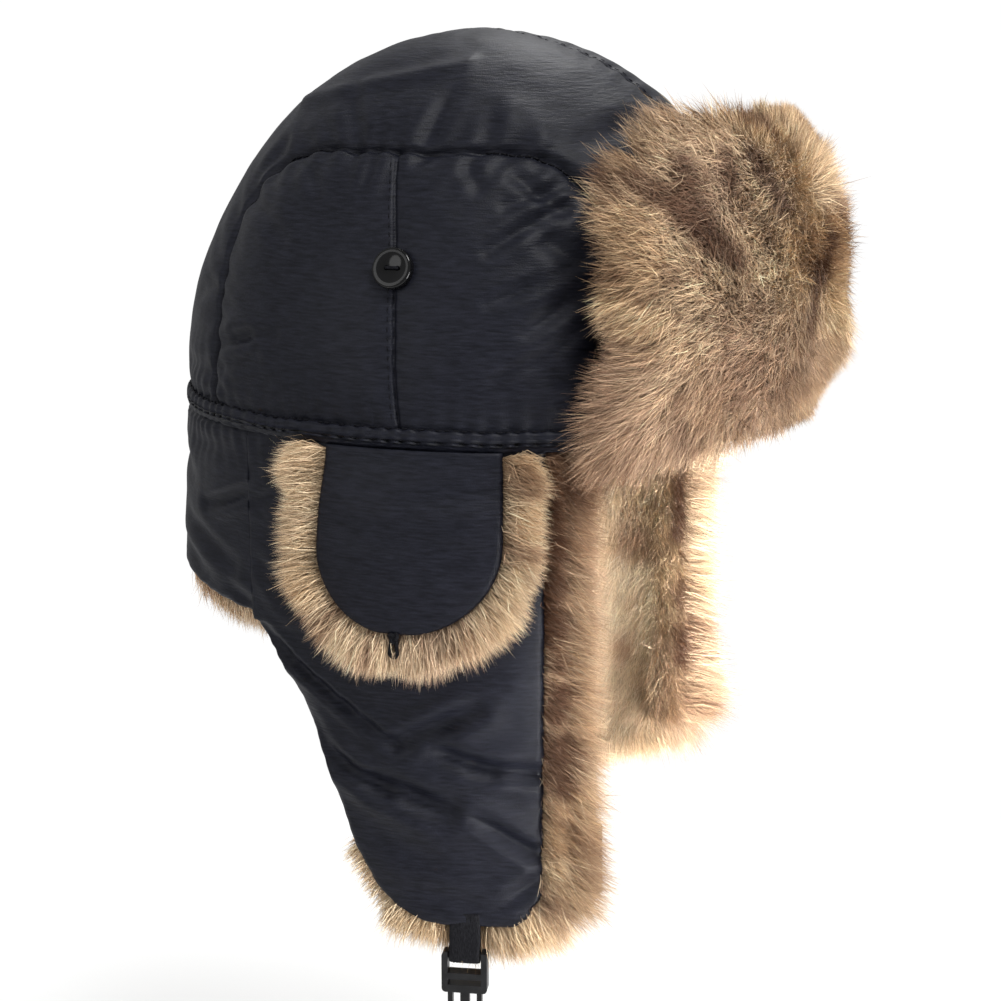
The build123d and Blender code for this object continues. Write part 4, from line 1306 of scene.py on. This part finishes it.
def make_webbing(name, side):
    """Doubled webbing, round the buckle's bar and up into the flap's tip, further where the tip curls up."""
    node = f"{name}_strap_webbing"
    points = np.array([v.co for v in frame["nodes"][node].data.vertices])
    low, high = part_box(node)
    centre = points[points[:, 2] > high.z - 0.1 * MM].mean(0) * np.array([1, 1, 0])
    axis = unit(np.array(joint_axis(f"{name}_strap_swing")))
    width_axis = axis if axis[1] > 0 else -axis
    thick_axis = unit(np.cross(width_axis, [0, 0, 1.0]))
    half, thick, gap, closed = 5.0 * MM, 0.62 * MM, 1.9 * MM, 0.75 * MM
    tuck = (7 if side > 0 else 16) * MM
    bar_z = low.z + 2.55 * MM
    turn = np.linspace(0, math.pi, 24)
    rise = np.linspace(high.z + tuck, bar_z, 60)
    spread = closed + (gap - closed) * (1 - smooth(bar_z, min(high.z, bar_z + 9 * MM), rise))
    front = np.stack([spread, rise], 1)
    bend = np.stack([gap * np.cos(turn), bar_z - gap * np.sin(turn)], 1)
    line = np.concatenate([front, bend[1:-1], front[::-1] * np.array([-1, 1])])
    tangent = unit(np.gradient(line, axis=0))
    normal = np.stack([-tangent[:, 1], tangent[:, 0]], 1)
    across = np.linspace(-1, 1, 21)
    rib = 0.10 * MM * np.sin(across * np.pi * 9)
    edge = 1 - 0.5 * np.abs(across) ** 8
    sides = []
    for face in (1, -1):
        offset = line[:, None] + normal[:, None] * (face * (thick * edge + rib))[None, :, None]
        sides.append(centre + offset[..., :1] * thick_axis + np.array([0, 0, 1.0]) * offset[..., 1:]
                     + (across * half)[None, :, None] * width_axis)
    strap = closed_sheet(f"{name}_strap_cloth", sides[0], sides[1], WEBBING)
    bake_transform(strap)
    dress([node])


def joint_axis(joint):
    """The axis of a joint of the frame."""
    return next(j["axis"] for j in frame["joints"] if j["name"] == joint)


def dress_hardware():
    """Buttons, thread and buckle halves keep their CAD shape and get their materials."""
    buckle_nodes = ("male_buckle", "buckle_front_arm", "buckle_rear_arm", "female_buckle")
    finishes = {name: BUCKLE for name in buckle_nodes}
    for side in SIDES:
        finishes[f"{side}_button"] = GLOSS
        finishes[f"{side}_button_thread"] = THREAD
    for node, material in finishes.items():
        obj = frame["nodes"][node]
        obj.data.materials.clear()
        obj.data.materials.append(material)


# ---------------------------------------------------------------- studio

AZIMUTH, ELEVATION, DISTANCE = -67.89, 9.83, 0.70
AIM_RIGHT, AIM_DOWN = 5.34 * MM, 35.65 * MM
LENS = 71.25
AMBIENT = 0.55


def view_axes():
    """Directions to the right, up and back of the photograph's view."""
    turn, rise = math.radians(AZIMUTH), math.radians(ELEVATION)
    back = Vector((math.sin(turn) * math.cos(rise), -math.cos(turn) * math.cos(rise), math.sin(rise)))
    right = Vector((math.cos(turn), math.sin(turn), 0))
    return right, back.cross(right), back


def make_camera():
    """The photograph's view of the hat."""
    right, up, back = view_axes()
    target = right * AIM_RIGHT - up * AIM_DOWN
    data = bpy.data.cameras.new("camera")
    data.lens = LENS
    data.sensor_width = 36
    data.clip_start = 0.01
    camera = bpy.data.objects.new("camera", data)
    bpy.context.scene.collection.objects.link(camera)
    camera.location = back * DISTANCE
    camera.rotation_euler = (target - camera.location).to_track_quat("-Z", "Y").to_euler()
    bpy.context.scene.camera = camera


def area_light(name, place, size, power, aim=(0, 0, 0)):
    """A soft round light aimed at a point of the hat."""
    data = bpy.data.lights.new(name, "AREA")
    data.shape = "DISK"
    data.size = size
    data.energy = power
    light = bpy.data.objects.new(name, data)
    bpy.context.scene.collection.objects.link(light)
    light.location = place
    light.rotation_euler = (Vector(aim) - Vector(place)).to_track_quat("-Z", "Y").to_euler()
    return data


def make_studio():
    """Pale floor, white surroundings and soft lights."""
    scene = bpy.context.scene
    scene.view_settings.view_transform = "Standard"
    world = bpy.data.worlds.new("studio")
    world.use_nodes = True
    tree = world.node_tree
    tree.nodes["Background"].inputs["Color"].default_value = (1, 1, 1, 1)
    seen = tree.nodes.new("ShaderNodeLightPath").outputs["Is Camera Ray"]
    level = tree.nodes.new("ShaderNodeMapRange")
    level.inputs["To Min"].default_value = AMBIENT
    level.inputs["To Max"].default_value = 1.02
    tree.links.new(seen, level.inputs["Value"])
    tree.links.new(level.outputs["Result"], tree.nodes["Background"].inputs["Strength"])
    scene.world = world
    right, up, back = view_axes()
    area_light("key", back * 0.75 + up * 0.95 + right * 0.35, 0.45, 13)
    area_light("front", right * 0.85 + back * 0.48 - up * 0.33, 0.55, 16, (0, 0, -0.09))
    inside = area_light("inside", right * 0.28 + back * 0.38 - up * 0.32, 0.16, 0.45, (0.09, -0.03, -0.06))
    inside.spread = math.radians(26)
    area_light("fill", back * 0.8 - right * 0.9 + up * 0.2, 0.7, 3)
    area_light("rim", up * 1.1 - back * 0.5 + right * 0.2, 0.5, 7)
    depth = CAD_BOX[0][2] - 0.14
    ring = np.linspace(0, 2 * np.pi, 64, endpoint=False)
    points = [np.array([[0, 0, depth]])]
    for radius in (0.2, 0.4, 0.6):
        points.append(np.stack([radius * np.cos(ring), radius * np.sin(ring), 0 * ring + depth], 1))
    faces = [[0, 1 + k, 1 + (k + 1) % 64] for k in range(64)] + grid_faces(3, 64, 1, wrap=True, flip=True)
    material, shader = new_material("studio_floor")
    tree = material.node_tree
    mottle = streaks(tree, (3, 3, 3), 2.0)
    tone = ramp(tree, mottle, [(0.0, (0.93, 0.93, 0.925)), (1.0, (0.96, 0.96, 0.955))])
    tree.links.new(tone, shader.inputs["Base Color"])
    shader.inputs["Roughness"].default_value = 0.9
    floor = make_object("floor", np.concatenate(points), faces, material)


# ---------------------------------------------------------------- build

make_camera()
make_studio()
make_crown()
make_hem()
make_nape_cloth()
make_nape_fur()
make_visor()
for side_name, side_sign in SIDES.items():
    make_flap_cloth(side_name, side_sign)
    make_flap_fur(side_name, side_sign, 200 if side_name == "right" else 300)
    make_cover_cloth(side_name, side_sign)
    make_cover_fur(side_name, side_sign, 400 if side_name == "right" else 500)
    make_loop(side_name, side_sign)
    make_webbing(side_name, side_sign)
dress_hardware()
